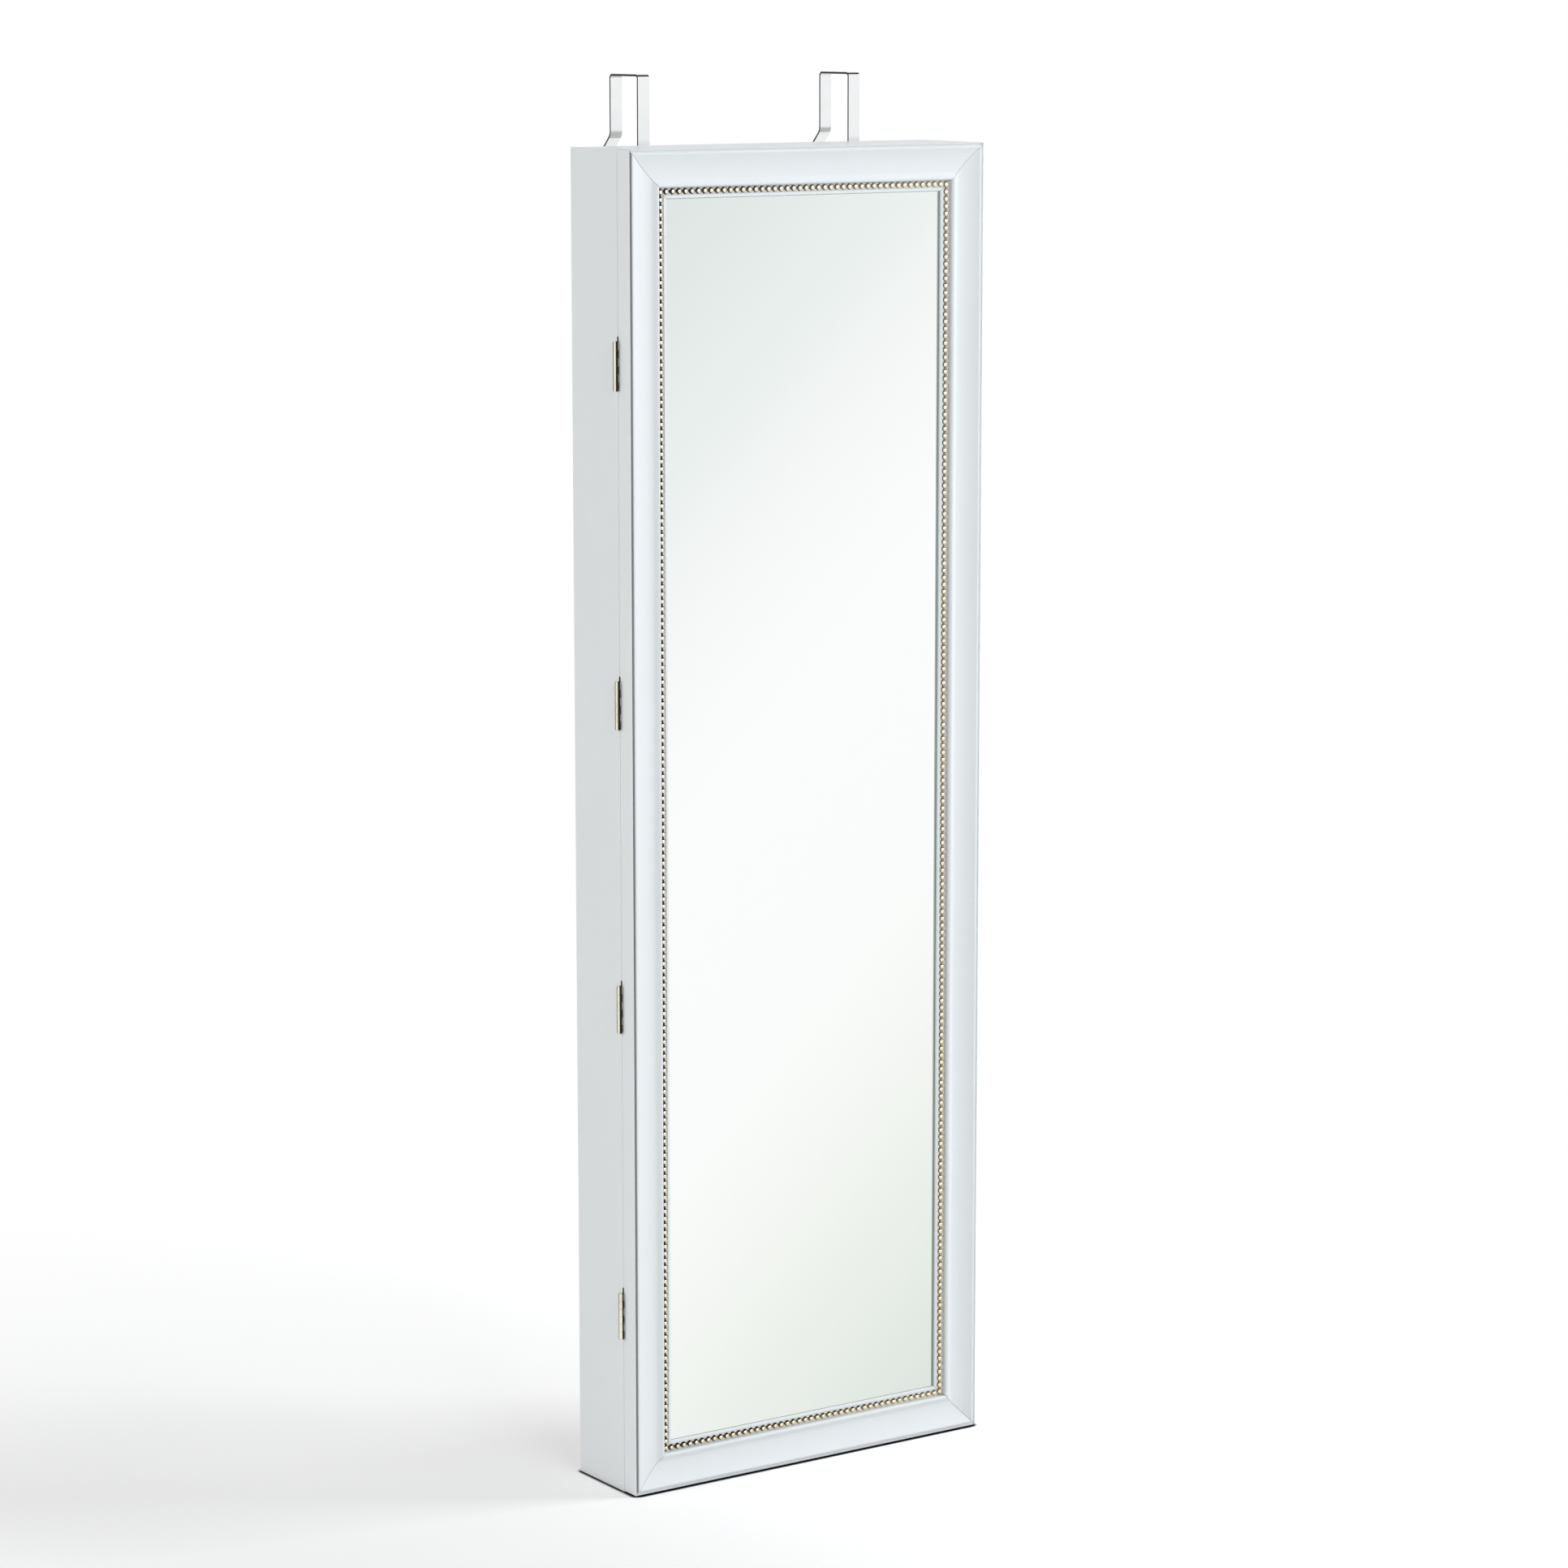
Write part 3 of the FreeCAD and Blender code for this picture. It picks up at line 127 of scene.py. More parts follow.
# --- what polished pieces reflect ---
BAND_SLANT = 1.2              # bands of grey that lie slantwise round the room
BAND_WIDTH = 0.165
BAND_TONES = ((0.02, (0.745, 0.785, 0.775)), (0.22, (0.855, 0.89, 0.88)),
              (0.32, (0.95, 0.95, 0.95)), (0.45, (1.0, 1.0, 1.0)), (0.66, (0.99, 0.99, 0.985)),
              (0.80, (0.91, 0.925, 0.89)), (1.0, (0.745, 0.79, 0.74)))
BLACK_CARD_WAY = (-0.567, 0.824, 0)
BLACK = (0.05, 0.05, 0.055, 1)
WALLS = (0.94, 0.945, 0.95, 1)
GREY_CARD = (0.52, 0.53, 0.54, 1)

# --- lights ---
ROOM_LIGHT = (0.49, 0.495, 0.50, 1)
LIGHT_TARGET = (0, 0, 0.6)
COOL_LIGHT = (0.97, 0.985, 1.0)
WARM_LIGHT = (1.0, 0.98, 0.93)

# --- floor, in metres ---
FLOOR_SPAN = 160.0
FLOOR_GREY = (0.80, 0.80, 0.80, 1)
FLOOR_GLOW = 0.506            # lifts the lit floor to white for the camera, and keeps the shadow
SHADE_DEPTH = 0.343           # painted shadow: less lift in front and to the left, for the cabinet's broad soft shadow
SHADE_PLACE = (-0.51, -0.47, 0.0)
SHADE_TURN = 4.1
SHADE_SIZE = (1.24, 3.44, 1.0)
SHADOW_LIFT = 0.065             # painted light: more lift in the middle of the cabinet's shadow
SHADOW_LIFT_PLACE = (-0.43, 0.17, 0.0)
SHADOW_LIFT_TURN = -30.0
SHADOW_LIFT_SIZE = (0.34, 0.20, 1.0)
WHITE_FROM, WHITE_TO = 0.55, 1.5    # the floor fades to plain white with the distance
CONTACT_SHADOW_WIDTH = 0.006         # painted contact shadow: black line on the floor along the cabinet's foot
CONTACT_SHADOW_TONE = (0.01, 0.01, 0.01, 1)


# --- node helpers ---
def add(tree, kind, inputs=None, **settings):
    """New node; inputs maps a socket's name or number to a value or to the socket that feeds it."""
    made = tree.nodes.new(kind)
    for name, value in settings.items():
        setattr(made, name, value)
    for name, value in (inputs or {}).items():
        if isinstance(value, bpy.types.NodeSocket):
            tree.links.new(value, made.inputs[name])
        else:
            made.inputs[name].default_value = value
    return made


def calc(tree, operation, *values):
    return add(tree, "ShaderNodeMath", dict(enumerate(values)), operation=operation).outputs[0]


def map_range(tree, value, start, end, low=0.0, high=1.0, **settings):
    """Carries the value from start and end to low and high, and holds it there beyond them."""
    return add(tree, "ShaderNodeMapRange", {"Value": value, "From Min": start, "From Max": end,
                                            "To Min": low, "To Max": high}, **settings).outputs[0]


def ramp(tree, factor, stops):
    """Colour ramp through (position, colour) stops."""
    made = add(tree, "ShaderNodeValToRGB", {"Fac": factor})
    elements = made.color_ramp.elements
    while len(elements) < len(stops):
        elements.new(0.5)
    for element, (place, tone) in zip(elements, stops):
        element.position = place
        element.color = (*tone, 1.0)
    return made.outputs["Color"]


def fade(tree, factor, start, end):
    """0 up to start, 1 from end on."""
    return ramp(tree, factor, ((start, (0, 0, 0)), (end, (1, 1, 1))))


def mix_colour(tree, factor, first, second):
    """Colour mix: in a Mix node, 6 and 7 are the colours that go in and 2 is the one put out."""
    mix = add(tree, "ShaderNodeMix", {0: factor, 6: first, 7: second}, data_type="RGBA")
    return mix.outputs[2]


def noise(tree, place, scale, detail, distortion=0.0):
    return add(tree, "ShaderNodeTexNoise", {"Vector": place, "Scale": scale, "Detail": detail,
                                            "Distortion": distortion}).outputs["Fac"]


def swing(tree, pattern, amount, base):
    """The base, raised and lowered by the amount times the pattern's distance from its middle."""
    return calc(tree, "MULTIPLY_ADD", calc(tree, "SUBTRACT", pattern, 0.5), amount, base)


def object_place(tree):
    return add(tree, "ShaderNodeTexCoord").outputs["Object"]


def axes_of(tree, vector):
    return add(tree, "ShaderNodeSeparateXYZ", {0: vector}).outputs


def reach(tree, east, north, way):
    """How far a point at east and north lies along way, a unit direction on X and Y."""
    return calc(tree, "MULTIPLY_ADD", north, way[1], calc(tree, "MULTIPLY", east, way[0]))


# --- effects that several finishes share ---
COLOUR, VALUE, VECTOR = "NodeSocketColor", "NodeSocketFloat", "NodeSocketVector"


def new_effect(name, inputs):
    """Node group that puts out a colour, a roughness and a normal; returns its tree and inputs."""
    tree = bpy.data.node_groups.new(name, "ShaderNodeTree")
    for label, kind, default in inputs:
        socket = tree.interface.new_socket(label, in_out="INPUT", socket_type=kind)
        socket.default_value = default
    for label, kind in (("Colour", COLOUR), ("Roughness", VALUE), ("Normal", VECTOR)):
        tree.interface.new_socket(label, in_out="OUTPUT", socket_type=kind)
    return tree, tree.nodes.new("NodeGroupInput").outputs


def put_out(tree, colour, roughness, height, strength, distance):
    """Ends an effect: its colour, its roughness, and the normal of its relief."""
    relief = add(tree, "ShaderNodeBump", {"Strength": strength, "Distance": distance,
                                          "Height": height})
    add(tree, "NodeGroupOutput", {"Colour": colour, "Roughness": roughness,
                                  "Normal": relief.outputs[0]})


def shaded(tree, colour, shade):
    return add(tree, "ShaderNodeVectorMath", {0: colour, "Scale": shade},
               operation="SCALE").outputs[0]


def paint_film():
    """Sprayed lacquer: a little mottling, fine orange peel and a faint sanded grain."""
    tree, given = new_effect("paint_film", (
        ("Colour", COLOUR, (0.8, 0.8, 0.8, 1)), ("Mottle", VALUE, 0.02),
        ("Roughness", VALUE, 0.35), ("Peel", VALUE, 0.05)))
    place = object_place(tree)
    cloud = noise(tree, place, 9.0, 3.0)
    peel, drift = noise(tree, place, 620.0, 2.0), noise(tree, place, 60.0, 2.0)
    put_out(tree, shaded(tree, given["Colour"], swing(tree, cloud, given["Mottle"], 1.0)),
            roughness=swing(tree, cloud, 0.12, given["Roughness"]),
            height=calc(tree, "MULTIPLY_ADD", drift, 0.6, peel),
            strength=given["Peel"], distance=0.0004)
    return tree


def velvet_pile():
    """Short pile that is stroked lighter and darker in patches, with a fine fibre grain."""
    tree, given = new_effect("velvet_pile", (
        ("Colour", COLOUR, (0.5, 0.45, 0.4, 1)), ("Stroke", VALUE, 0.3), ("Pile", VALUE, 0.5)))
    place = object_place(tree)
    brushed = add(tree, "ShaderNodeMapping", {"Vector": place, "Scale": (1.0, 1.0, 0.4)}).outputs[0]
    patches = fade(tree, noise(tree, brushed, 11.0, 3.0, distortion=0.3), 0.3, 0.7)
    fibres = noise(tree, place, 1900.0, 3.0)
    tufts = add(tree, "ShaderNodeTexVoronoi", {"Vector": place, "Scale": 900.0}).outputs["Distance"]
    stroked = swing(tree, patches, given["Stroke"], 1.0)
    put_out(tree, shaded(tree, given["Colour"], swing(tree, fibres, 0.5, stroked)),
            roughness=calc(tree, "MULTIPLY_ADD", fibres, 0.1, 0.85),
            height=calc(tree, "MULTIPLY_ADD", tufts, 0.7, fibres),
            strength=given["Pile"], distance=0.0004)
    return tree


def metal_finish():
    """Polished or drawn metal: fine scratches along Stretch, smudges and a slight tarnish."""
    tree, given = new_effect("metal_finish", (
        ("Colour", COLOUR, (0.8, 0.8, 0.8, 1)), ("Tarnish", COLOUR, (0.5, 0.45, 0.4, 1)),
        ("Tarnish Amount", VALUE, 0.15), ("Roughness", VALUE, 0.12), ("Scratch", VALUE, 0.05),
        ("Stretch", VECTOR, (1, 1, 1))))
    place = object_place(tree)
    drawn = add(tree, "ShaderNodeMapping", {"Vector": place, "Scale": given["Stretch"]}).outputs[0]
    lines = noise(tree, drawn, 900.0, 4.0)
    dull = fade(tree, noise(tree, place, 70.0, 4.0), 0.45, 0.75)
    share = calc(tree, "MULTIPLY", dull, given["Tarnish Amount"])
    rough = calc(tree, "MULTIPLY_ADD", dull, 0.08, given["Roughness"])
    put_out(tree, mix_colour(tree, share, given["Colour"], given["Tarnish"]),
            roughness=calc(tree, "MULTIPLY_ADD", lines, 0.05, rough), height=lines,
            strength=given["Scratch"], distance=0.0002)
    return tree


PAINT_FILM = paint_film()
VELVET_PILE = velvet_pile()
METAL_FINISH = metal_finish()


# --- finishes ---
def finish(name, effect, values, constants, follows=("Colour", "Roughness", "Normal")):
    """Material of one Principled BSDF that follows a shared effect, with constants for the rest."""
    material = bpy.data.materials.new(name)
    material.use_nodes = True
    tree = material.node_tree
    shader = tree.nodes["Principled BSDF"]
    placed = add(tree, "ShaderNodeGroup", values, node_tree=effect)
    for label, value in constants.items():
        shader.inputs[label].default_value = value
    for label in follows:
        socket = "Base Color" if label == "Colour" else label
        tree.links.new(placed.outputs[label], shader.inputs[socket])
    return material


def paint(name, colour, roughness=0.38, mottle=0.03, peel=0.06, coat=0.0):
    return finish(name, PAINT_FILM,
                  {"Colour": (*colour, 1), "Mottle": mottle, "Roughness": roughness, "Peel": peel},
                  {"Coat Weight": coat, "Coat Roughness": 0.12})


def velvet(name, colour, stroke=0.14):
    return finish(name, VELVET_PILE, {"Colour": (*colour, 1), "Stroke": stroke},
                  {"Sheen Weight": 0.6, "Sheen Roughness": 0.35, "Specular IOR Level": 0.15})


def metal(name, colour, tarnish, amount, roughness, scratch=0.05, stretch=(1, 1, 1)):
    return finish(name, METAL_FINISH,
                  {"Colour": (*colour, 1), "Tarnish": (*tarnish, 1), "Tarnish Amount": amount,
                   "Roughness": roughness, "Scratch": scratch, "Stretch": stretch},
                  {"Metallic": 1.0})


def tone_where(material, mask, tone):
    """Lays the tone over the material's base colour where the mask is 1."""
    tree = material.node_tree
    base = tree.nodes["Principled BSDF"].inputs["Base Color"]
    tree.links.new(mix_colour(tree, mask, base.links[0].from_socket, tone), base)


def mirror_silver():
    """Silvered glass: clean, with a narrow band of painted shade along the frame, tinted the green
    of the glass, for the shaded rebate under the lip seen through the glass.
    """
    material = finish("mirror_silver", METAL_FINISH,
                      {"Colour": (0.97, 0.985, 0.98, 1), "Tarnish": (0.93, 0.95, 0.945, 1),
                       "Tarnish Amount": 0.1},
                      {"Metallic": 1.0, "Roughness": 0.0}, follows=("Colour",))
    tree = material.node_tree
    axes = axes_of(tree, object_place(tree))
    half_width = DOOR_HALF_WIDTH - FRAME_WIDTH
    half_height = (DOOR_HEAD - DOOR_FOOT) / 2 - FRAME_WIDTH
    across = calc(tree, "ABSOLUTE", calc(tree, "ADD", axes["X"], EDGE_BAND_SHIFT * MM))
    across = calc(tree, "SUBTRACT", across, (half_width - EDGE_BAND_SIDES) * MM)
    up = calc(tree, "ABSOLUTE", calc(tree, "SUBTRACT", axes["Z"], DOOR_MIDDLE * MM))
    up = calc(tree, "SUBTRACT", up, (half_height - EDGE_BAND_ENDS) * MM)
    edge = map_range(tree, calc(tree, "MAXIMUM", across, up), -EDGE_BAND_BLUR * MM, 0.0)
    # painted shade along the edge, wider on the right than on the left
    tone_where(material, edge, EDGE_BAND_SHADE)
    return material


def hinge_brass():
    """Pale brass knuckles, with painted shade in the corner between each knuckle and the door's
    edge.
    """
    material = metal("hinge_brass", (0.93, 0.88, 0.72), (0.6, 0.5, 0.3), 0.3, 0.14,
                     stretch=(1, 1, 0.1))
    tree = material.node_tree
    axes = axes_of(tree, object_place(tree))
    inward = reach(tree, calc(tree, "SUBTRACT", axes["X"], HINGE_AXIS[0] * MM),
                   calc(tree, "SUBTRACT", axes["Y"], HINGE_AXIS[1] * MM), CORNER_WAY)
    start = map_range(tree, axes["Z"], *CORNER_LEVELS, CORNER_START[0] * MM, CORNER_START[1] * MM)
    corner = calc(tree, "GREATER_THAN", inward, start)
    knuckle = calc(tree, "LESS_THAN", calc(tree, "ABSOLUTE", inward), KNUCKLE_RADIUS * MM)
    # painted shade where the knuckle meets the door's edge
    tone_where(material, calc(tree, "MULTIPLY", corner, knuckle), CORNER_SHADE)
    return material


def moulding_lacquer():
    """The white lacquer, with painted shade in the deep groove along the hinge side."""
    material = paint("moulding_lacquer", WHITE, coat=0.15)
    tree = material.node_tree
    axes = axes_of(tree, object_place(tree))
    inset, depth = GROOVE_SHADE_MIDDLE[0] - DOOR_HALF_WIDTH, GROOVE_SHADE_MIDDLE[1] + DOOR_FACE
    across = calc(tree, "COMPARE", axes["X"], inset * MM, GROOVE_SHADE_REACH[0] * MM)
    deep = calc(tree, "COMPARE", axes["Y"], depth * MM, GROOVE_SHADE_REACH[1] * MM)
    # painted shade: darker paint in the groove, where shade falls
    tone_where(material, calc(tree, "MULTIPLY", across, deep), GROOVE_SHADE)
    return material


def gilded_beads():
    """Pale gilding, plain on the crowns. Painted shade and painted dark reflections lie in the
    hollows between the beads and on the left flanks of the upright strings."""
    material = metal("gilded_beads", (0.98, 0.91, 0.74), (0.85, 0.70, 0.44), 0.3, 0.10,
                     scratch=0.02)
    tree = material.node_tree
    place = object_place(tree)
    axes = axes_of(tree, place)
    side = map_range(tree, axes["X"], -STRING_SIDES, STRING_SIDES)
    ragged = noise(tree, place, 260.0, 2.0)
    depth = calc(tree, "MULTIPLY_ADD", ragged, BEAD_SHADE_NOISE * MM, axes["Y"])
    depth = calc(tree, "MULTIPLY_ADD", side, -BEAD_SHADE_STEP * MM, depth)
    hollow = map_range(tree, depth, BEAD_CROWN * MM, BEAD_HOLLOW * MM)
    string = calc(tree, "MULTIPLY", calc(tree, "SIGN", axes["X"]), BEAD_LINE * MM)
    aside = calc(tree, "SUBTRACT", axes["X"], string)
    flank = reach(tree, aside, calc(tree, "SUBTRACT", axes["Y"], BEAD_FLOOR * MM), FLANK_WAY)
    flank = map_range(tree, flank, FLANK_START * MM, FLANK_FULL * MM)
    upright = calc(tree, "LESS_THAN", calc(tree, "ABSOLUTE", aside), BEAD_REACH * MM)
    painted_shade = calc(tree, "MAXIMUM", hollow, calc(tree, "MULTIPLY", flank, upright))
    warm = map_range(tree, axes["Z"], WARM_FROM, WARM_TO, 0.0, WARM_SHARE)
    tone_where(material, warm, WARM_GILDING)
    # painted shade and painted dark reflections, in the hollows and on the left flanks
    tone_where(material, painted_shade, mix_colour(tree, side, BEAD_SHADE_LEFT, BEAD_SHADE_RIGHT))
    return material


WHITE = (0.83, 0.865, 0.88)
MOULDING_LACQUER = moulding_lacquer()
FINISHES = {
    "white_lacquer": paint("white_lacquer", WHITE, coat=0.15),
    "white_interior": paint("white_interior", (0.82, 0.83, 0.82), roughness=0.45),
    "hardboard": paint("white_hardboard", (0.78, 0.78, 0.75), roughness=0.6, mottle=0.08, peel=0.2),
    "velvet_lining": velvet("lining_velvet", (0.56, 0.50, 0.44)),
    "velvet_cushion": velvet("cushion_velvet", (0.58, 0.52, 0.46), stroke=0.10),
    "gold_beads": gilded_beads(),
    "mirror": mirror_silver(),
    "polished_steel": metal("polished_strap", (0.95, 0.955, 0.96), (0.8, 0.8, 0.8), 0.1, 0.06,
                            stretch=(1, 0.05, 0.05)),
    "hinge_brass": hinge_brass(),
    "gold_metal": metal("polished_brass", (0.9, 0.72, 0.38), (0.6, 0.45, 0.2), 0.2, 0.14,
                        stretch=(0.05, 1, 1)),
    "white_plastic": paint("white_plastic", (0.85, 0.86, 0.85), roughness=0.42, mottle=0.0,
                           peel=0.1),
    "bright_steel": metal("zinc_steel", (0.68, 0.68, 0.68), (0.5, 0.48, 0.42), 0.3, 0.25,
                          scratch=0.1),
}


def dress_cad_nodes():
    """Every CAD node takes the finish of the slot that the record gives it."""
    slots = {part["node"]: part["material_slot"] for part in frame["record"]["subparts"]}
    for name, piece in NODES.items():
        piece.data.materials.clear()
        piece.data.materials.append(FINISHES[slots[name]])


# --- making pieces ---
def start_from_plane(name):
    """A new piece in edit mode that holds one vertex at the origin, which is selected."""
    bpy.ops.object.select_all(action="DESELECT")
    bpy.ops.mesh.primitive_plane_add(size=MM, location=(0, 0, 0))
    piece = bpy.context.active_object
    piece.name = piece.data.name = name
    bpy.ops.object.mode_set(mode="EDIT")
    bpy.ops.mesh.select_all(action="SELECT")
    bpy.ops.mesh.merge(type="CENTER")
    return piece


def draw_outline(points):
    """Extrudes the selected vertex through the points (metres) and fills the closed outline."""
    here = Vector(points[0])
    bpy.ops.transform.translate(value=here)
    for point in points[1:]:
        step = Vector(point) - here
        bpy.ops.mesh.extrude_region_move(TRANSFORM_OT_translate={"value": step})
        here = Vector(point)
    bpy.ops.mesh.select_all(action="SELECT")
    bpy.ops.mesh.edge_face_add()


def select(piece, kind, wanted):
    """Selects the piece's items of a kind, "EDGE" or "FACE", for which wanted(item) holds."""
    bpy.ops.mesh.select_mode(type=kind)
    bpy.ops.mesh.select_all(action="DESELECT")
    shape = bmesh.from_edit_mesh(piece.data)
    for item in shape.edges if kind == "EDGE" else shape.faces:
        item.select_set(bool(wanted(item)))
    bmesh.update_edit_mesh(piece.data)


def done(piece, body, material, sharp_degrees):
    """Leaves edit mode with clean normals and gives the piece its body, finish and slot."""
    bpy.ops.mesh.select_all(action="SELECT")
    bpy.ops.mesh.remove_doubles(threshold=1e-6)
    bpy.ops.mesh.normals_make_consistent(inside=False)
    bpy.ops.object.mode_set(mode="OBJECT")
    bpy.ops.object.shade_smooth_by_angle(angle=math.radians(sharp_degrees))
    piece.data.materials.clear()
    piece.data.materials.append(material)
    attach(piece, body)


# --- door frame ---
def arc(centre, radius, start, end, count):
    """Points of an arc in degrees from the inset axis towards the front, without its first."""
    turns = [math.radians(start + (end - start) * step / count) for step in range(1, count + 1)]
    return [(centre[0] + radius * math.cos(t), centre[1] - radius * math.sin(t)) for t in turns]


def moulding_outline(quirk):
    """Section of the scooped moulding as (inset, depth) in millimetres from its outer front corner.
    quirk is the depth of the fine groove beside the outer lip."""
    centre, radius = (24.0, -37.4667), 42.2667
    first, last = (math.degrees(math.atan2(centre[1] - depth, inset - centre[0]))
                   for inset, depth in ((4.8170, 0.1960), (25.0, 4.7882)))
    outer_lip = [(0.0, DOOR_THICKNESS), (0.0, 1.1)] + arc((0.5, 1.1), 0.5, 180, 100, 4)
    groove = [(0.7, 0.6), (0.7, quirk), (2.9, quirk), (2.9, 0.4)]
    rim = arc((3.3, 0.4), 0.4, 180, 90, 4) + arc((4.0, 1.8), 1.8, 96, 63, 4)
    scoop = arc(centre, radius, first, last, 16)
    nose = arc((25.0, -0.2), 5.0, -90, -60, 5) + arc((31.0, 4.42), 2.0, 120, 0, 10)
    bead_channel = [(33.0, 8.2), (40.0, 8.2)]
    inner_lip = [(40.0, 7.4), (41.9, 7.4)] + arc((41.9, 8.2), 0.8, 90, 0, 4)
    rebate = [(FRAME_WIDTH, 9.5), (36.7, 9.5), (36.7, DOOR_THICKNESS)]
    return outer_lip + groove + rim + scoop + nose + bead_channel + inner_lip + rebate


def frame_member(name, length, across, turn, quirk):
    """Mitred bar made as the left stile, then turned to its side of the door."""
    piece = start_from_plane(name)
    edge, half = -across / 2, length / 2
    draw_outline([((edge + inset) * MM, depth * MM, -half * MM)
                  for inset, depth in moulding_outline(quirk)])
    bpy.ops.mesh.extrude_region_move(TRANSFORM_OT_translate={"value": (0, 0, length * MM)})
    for way in (-1, 1):
        bpy.ops.mesh.select_all(action="SELECT")
        corner = (edge * MM, 0, way * (half - MITRE_LINE) * MM)
        bpy.ops.mesh.bisect(plane_co=corner, plane_no=(1, 0, way), use_fill=True,
                            clear_outer=True)
    bpy.ops.object.mode_set(mode="OBJECT")
    piece.rotation_euler = (0, math.radians(turn), 0)
    piece.location = (0, DOOR_FACE * MM, DOOR_MIDDLE * MM)
    bpy.ops.object.transform_apply(location=True, rotation=True, scale=True)
    bpy.ops.object.mode_set(mode="EDIT")
    done(piece, "door", MOULDING_LACQUER, 24.0)
    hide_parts(name)
    piece.name = piece.data.name = name.replace("door_frame", "moulding")


def door_frame():
    height, width = DOOR_HEAD - DOOR_FOOT, 2 * DOOR_HALF_WIDTH
    frame_member("door_frame_left", height, width, 0, HINGE_QUIRK)
    frame_member("door_frame_right", height, width, 180, QUIRK)
    frame_member("door_frame_top", width, height, 90, QUIRK)
    frame_member("door_frame_bottom", width, height, -90, QUIRK)


# --- velvet ---
def creased(piece, name, spacing, height, weights):
    """Pushes the piece's weighted points in and out by a soft noise, as stuffed fabric creases."""
    cloud = bpy.data.textures.new(name, "CLOUDS")
    cloud.noise_scale = spacing
    relief = piece.modifiers.new(name, "DISPLACE")
    relief.texture, relief.texture_coords = cloud, "LOCAL"
    relief.strength, relief.mid_level = height * MM, CREASE_ZERO
    relief.vertex_group = weights
    bpy.ops.object.modifier_apply(modifier=name)


def ring_cushion():
    """Velvet pad of eight rolls that swell between their folds, with rounded ends."""
    low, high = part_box("ring_cushion")
    step = (high.z - low.z) / CUSHION_ROLLS
    fold = low.y + ROLL_HEIGHT * MM
    left = low.x + CUSHION_ENDS * MM
    width = high.x - low.x - 2 * CUSHION_ENDS * MM
    outline = [(left, high.y, low.z), (left, fold, low.z)]
    for roll in range(CUSHION_ROLLS):
        for part in range(1, ROLL_STEPS + 1):
            turn = math.pi * part / ROLL_STEPS
            swell = max(math.sin(turn), 0.0) ** ROLL_FULLNESS
            outline.append((left, fold - (fold - low.y) * swell,
                            low.z + step * (roll + 0.5 - 0.5 * math.cos(turn))))
    outline.append((left, high.y, high.z))
    pad = start_from_plane("ring_pad")
    draw_outline(outline)
    bpy.ops.mesh.extrude_region_move(TRANSFORM_OT_translate={"value": (width, 0, 0)})
    bpy.ops.mesh.select_all(action="SELECT")
    bpy.ops.mesh.normals_make_consistent(inside=False)
    select(pad, "EDGE", lambda edge: abs(edge.verts[0].co.x - edge.verts[1].co.x) > width / 2)
    bpy.ops.mesh.subdivide(number_cuts=ROLL_CUTS)
    for side in (-1, 1):
        select(pad, "FACE", lambda face: face.normal.x * side > 0.9 and len(face.verts) > 8)
        for inset, out in END_STEPS:
            bpy.ops.mesh.inset(thickness=inset * MM, depth=out * MM, use_even_offset=False)
    bpy.ops.object.mode_set(mode="OBJECT")
    front = [point.index for point in pad.data.vertices if point.co.y < fold + 0.5 * MM]
    pad.vertex_groups.new(name="rolls").add(front, 1.0, "ADD")
    creased(pad, "slack", *SLACK, "rolls")
    creased(pad, "wrinkles", *WRINKLES, "rolls")
    bpy.ops.object.mode_set(mode="EDIT")
    done(pad, "case", FINISHES["velvet_cushion"], 70.0)
    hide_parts("ring_cushion")


def lining_panel(node, name, body, front):
    """Board wrapped in velvet, with soft round front edges. front is the way it faces on Y."""
    low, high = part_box(node)
    bpy.ops.object.select_all(action="DESELECT")
    bpy.ops.mesh.primitive_cube_add(size=1.0, location=(low + high) / 2, scale=high - low)
    panel = bpy.context.active_object
    panel.name = panel.data.name = name
    bpy.ops.object.transform_apply(location=True, rotation=True, scale=True)
    bpy.ops.object.mode_set(mode="EDIT")
    face = (low if front < 0 else high).y
    select(panel, "EDGE", lambda edge: all(abs(end.co.y - face) < 1e-6 for end in edge.verts))
    bpy.ops.mesh.bevel(offset=VELVET_ROUNDING * MM, segments=4)
    done(panel, body, FINISHES["velvet_lining"], 40.0)
    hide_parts(node)


# --- studio ---
def camera():
    made = bpy.data.objects.new("camera", bpy.data.cameras.new("camera"))
    bpy.context.scene.collection.objects.link(made)
    made.location = CAMERA_PLACE
    made.rotation_euler = (math.pi / 2 - CAMERA_PITCH, 0, -CAMERA_YAW)
    made.data.lens = CAMERA_LENS
    made.data.sensor_width = 36.0
    made.data.clip_end = 200.0
    bpy.context.scene.camera = made


def softbox(name, place, size, power, colour, mirrored=False):
    """Square lamp aimed at the cabinet; only a mirrored one shows in polished pieces."""
    lamp = bpy.data.lights.new(name, "AREA")
    lamp.size, lamp.energy, lamp.color = size, power, colour
    made = bpy.data.objects.new(name, lamp)
    bpy.context.scene.collection.objects.link(made)
    made.location = place
    aim = Vector(LIGHT_TARGET) - Vector(place)
    made.rotation_euler = aim.to_track_quat("-Z", "Y").to_euler()
    made.visible_glossy = mirrored


def studio_light():
    softbox("key_softbox", (3.69, -1.72, 2.95), 1.8, 108.0, COOL_LIGHT)
    softbox("front_softbox", (-0.4, -4.42, 2.55), 2.0, 50.0, COOL_LIGHT, mirrored=True)
    softbox("side_fill", (-3.5, 1.3, 1.0), 2.0, 43.0, WARM_LIGHT)


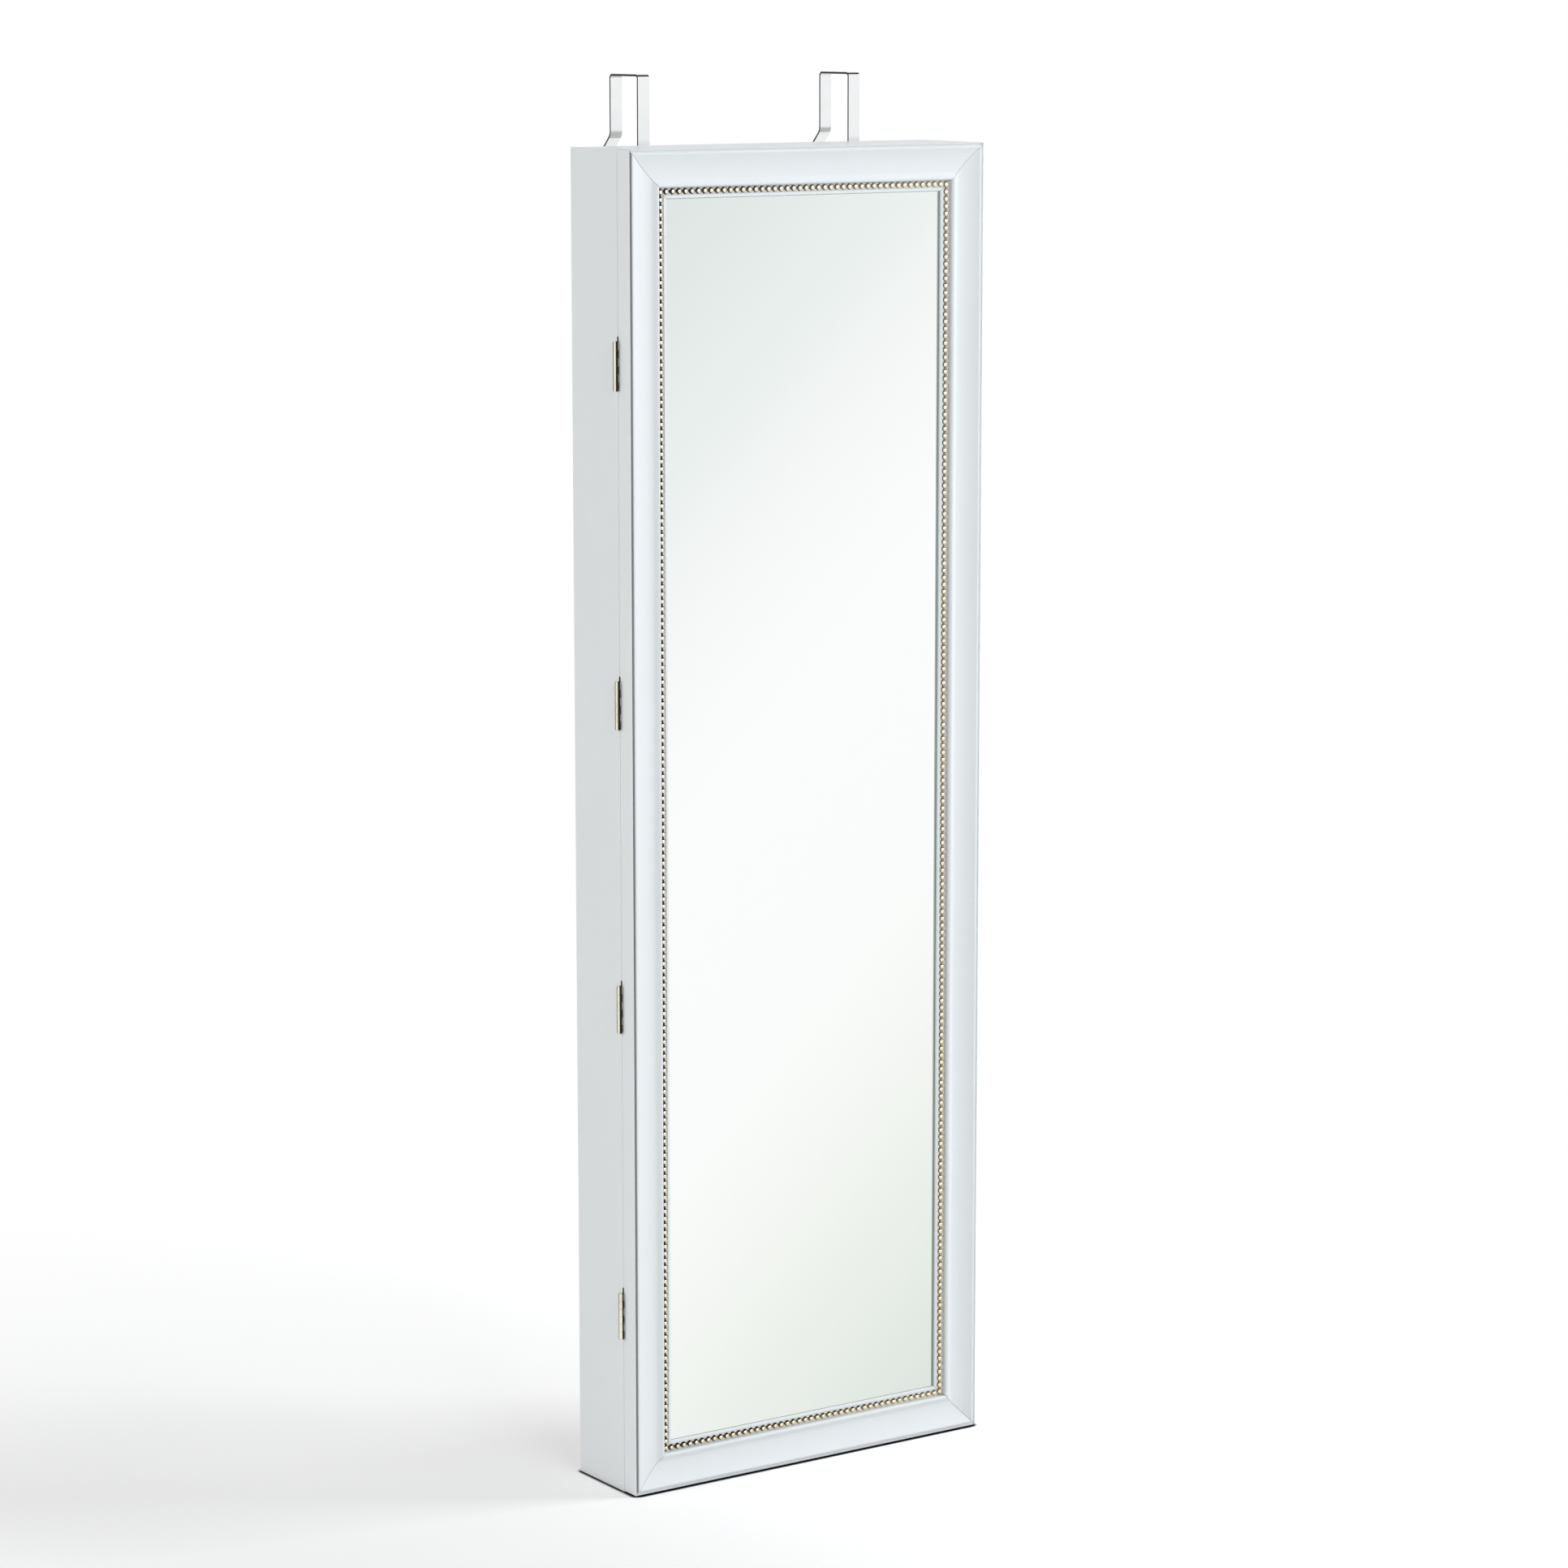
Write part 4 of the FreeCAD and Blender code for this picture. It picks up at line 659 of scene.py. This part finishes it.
def studio_world():
    """Even pale light, a white backdrop, and soft bands of grey that polished pieces reflect."""
    world = bpy.data.worlds.new("studio")
    bpy.context.scene.world = world
    world.use_nodes = True
    tree = world.node_tree
    tree.nodes.clear()
    way = add(tree, "ShaderNodeTexCoord").outputs["Generated"]
    axes = axes_of(tree, way)
    across = reach(tree, axes["X"], axes["Y"], (math.cos(CAMERA_YAW), math.sin(CAMERA_YAW)))
    drop = calc(tree, "ADD", axes["Z"], math.sin(CAMERA_PITCH))
    slope = calc(tree, "SUBTRACT", calc(tree, "MULTIPLY", across, BAND_SLANT), drop)
    run = calc(tree, "MULTIPLY_ADD", slope, 1 / BAND_WIDTH, 1.0)
    bands = ramp(tree, calc(tree, "MULTIPLY", calc(tree, "PINGPONG", run, 2.0), 0.5), BAND_TONES)
    above = fade(tree, calc(tree, "MULTIPLY_ADD", axes["Z"], 10.0, 0.5), 0.11, 0.22)
    around = mix_colour(tree, above, bands, WALLS)
    around = mix_colour(tree, fade(tree, axes["X"], 0.78, 0.93), around, GREY_CARD)
    behind = add(tree, "ShaderNodeVectorMath", {0: way, 1: BLACK_CARD_WAY}, operation="DOT_PRODUCT")
    card = fade(tree, behind.outputs["Value"], 0.84, 0.95)
    ceiling = fade(tree, axes["Z"], 0.62, 0.74)
    reflected = mix_colour(tree, calc(tree, "MAXIMUM", card, ceiling), around, BLACK)
    rays = add(tree, "ShaderNodeLightPath").outputs
    seen = calc(tree, "MAXIMUM", rays["Is Camera Ray"], rays["Is Transmission Ray"])
    colour = mix_colour(tree, rays["Is Glossy Ray"], ROOM_LIGHT, reflected)
    colour = mix_colour(tree, seen, colour, (1, 1, 1, 1))
    light = add(tree, "ShaderNodeBackground", {"Color": colour, "Strength": 1.0})
    add(tree, "ShaderNodeOutputWorld", {"Surface": light.outputs[0]})


def painted_contact_shadow(tree):
    """Mask of the painted contact shadow: 1 where the cabinet, or its open door, stands within the
    contact shadow's width of the floor, else 0.
    """
    open_sky = add(tree, "ShaderNodeAmbientOcclusion", {"Distance": CONTACT_SHADOW_WIDTH}, samples=12)
    return map_range(tree, open_sky.outputs["AO"], 0.93, 0.72)


def patch(tree, place, centre, turn, size, inside, outside):
    """Soft oval on the floor, from inside at its centre to outside at its rim. size is its half
    widths, and turn is in degrees."""
    oval = add(tree, "ShaderNodeMapping", {"Vector": place, "Location": centre, "Scale": size,
                                           "Rotation": (0, 0, math.radians(turn))},
               vector_type="TEXTURE").outputs[0]
    away = add(tree, "ShaderNodeVectorMath", {0: oval}, operation="LENGTH").outputs["Value"]
    return map_range(tree, away, 0.0, 1.0, inside, outside, interpolation_type="SMOOTHSTEP")


def floor_paint():
    """Matte paint that the camera sees lifted towards white, and as plain white further out, with a
    painted shadow in front and to the left, painted light in its middle, and a painted black
    contact shadow along the cabinet's foot.
    """
    material = bpy.data.materials.new("floor_paint")
    material.use_nodes = True
    tree = material.node_tree
    tree.nodes.clear()
    place = object_place(tree)
    seen = add(tree, "ShaderNodeLightPath").outputs["Is Camera Ray"]
    contact_shadow = painted_contact_shadow(tree)
    # painted shadow patch, and painted light in its middle
    shade = patch(tree, place, SHADE_PLACE, SHADE_TURN, SHADE_SIZE, FLOOR_GLOW - SHADE_DEPTH,
                  FLOOR_GLOW)
    shadow_lift = patch(tree, place, SHADOW_LIFT_PLACE, SHADOW_LIFT_TURN, SHADOW_LIFT_SIZE, SHADOW_LIFT, 0.0)
    lift = calc(tree, "MULTIPLY", calc(tree, "ADD", shade, shadow_lift),
                calc(tree, "SUBTRACT", 1.0, contact_shadow))
    # painted contact shadow: black, with no lift, where the cabinet stands close to the floor
    colour = mix_colour(tree, contact_shadow, FLOOR_GREY, CONTACT_SHADOW_TONE)
    matte = add(tree, "ShaderNodeBsdfDiffuse", {"Color": colour})
    glow = add(tree, "ShaderNodeEmission", {"Strength": calc(tree, "MULTIPLY", seen, lift)})
    near = add(tree, "ShaderNodeAddShader", {0: matte.outputs[0], 1: glow.outputs[0]})
    white = add(tree, "ShaderNodeEmission", {"Color": (1, 1, 1, 1)})
    away = add(tree, "ShaderNodeVectorMath", {0: place}, operation="LENGTH").outputs["Value"]
    spread = map_range(tree, away, WHITE_FROM, WHITE_TO, interpolation_type="SMOOTHSTEP")
    both = add(tree, "ShaderNodeMixShader", {0: calc(tree, "MULTIPLY", spread, seen),
                                             1: near.outputs[0], 2: white.outputs[0]})
    add(tree, "ShaderNodeOutputMaterial", {"Surface": both.outputs[0]})
    return material


def studio_floor():
    bpy.ops.object.select_all(action="DESELECT")
    bpy.ops.mesh.primitive_plane_add(size=FLOOR_SPAN, location=(0, 0, 0))
    floor = bpy.context.active_object
    floor.name = "studio_floor"
    floor.visible_glossy = False
    floor.data.materials.append(floor_paint())


camera()
bpy.context.scene.view_settings.view_transform = "Standard"
studio_world()
studio_light()
studio_floor()
dress_cad_nodes()
door_frame()
ring_cushion()
lining_panel("back_lining", "back_velvet", "case", -1)
lining_panel("door_lining", "door_velvet", "door", 1)
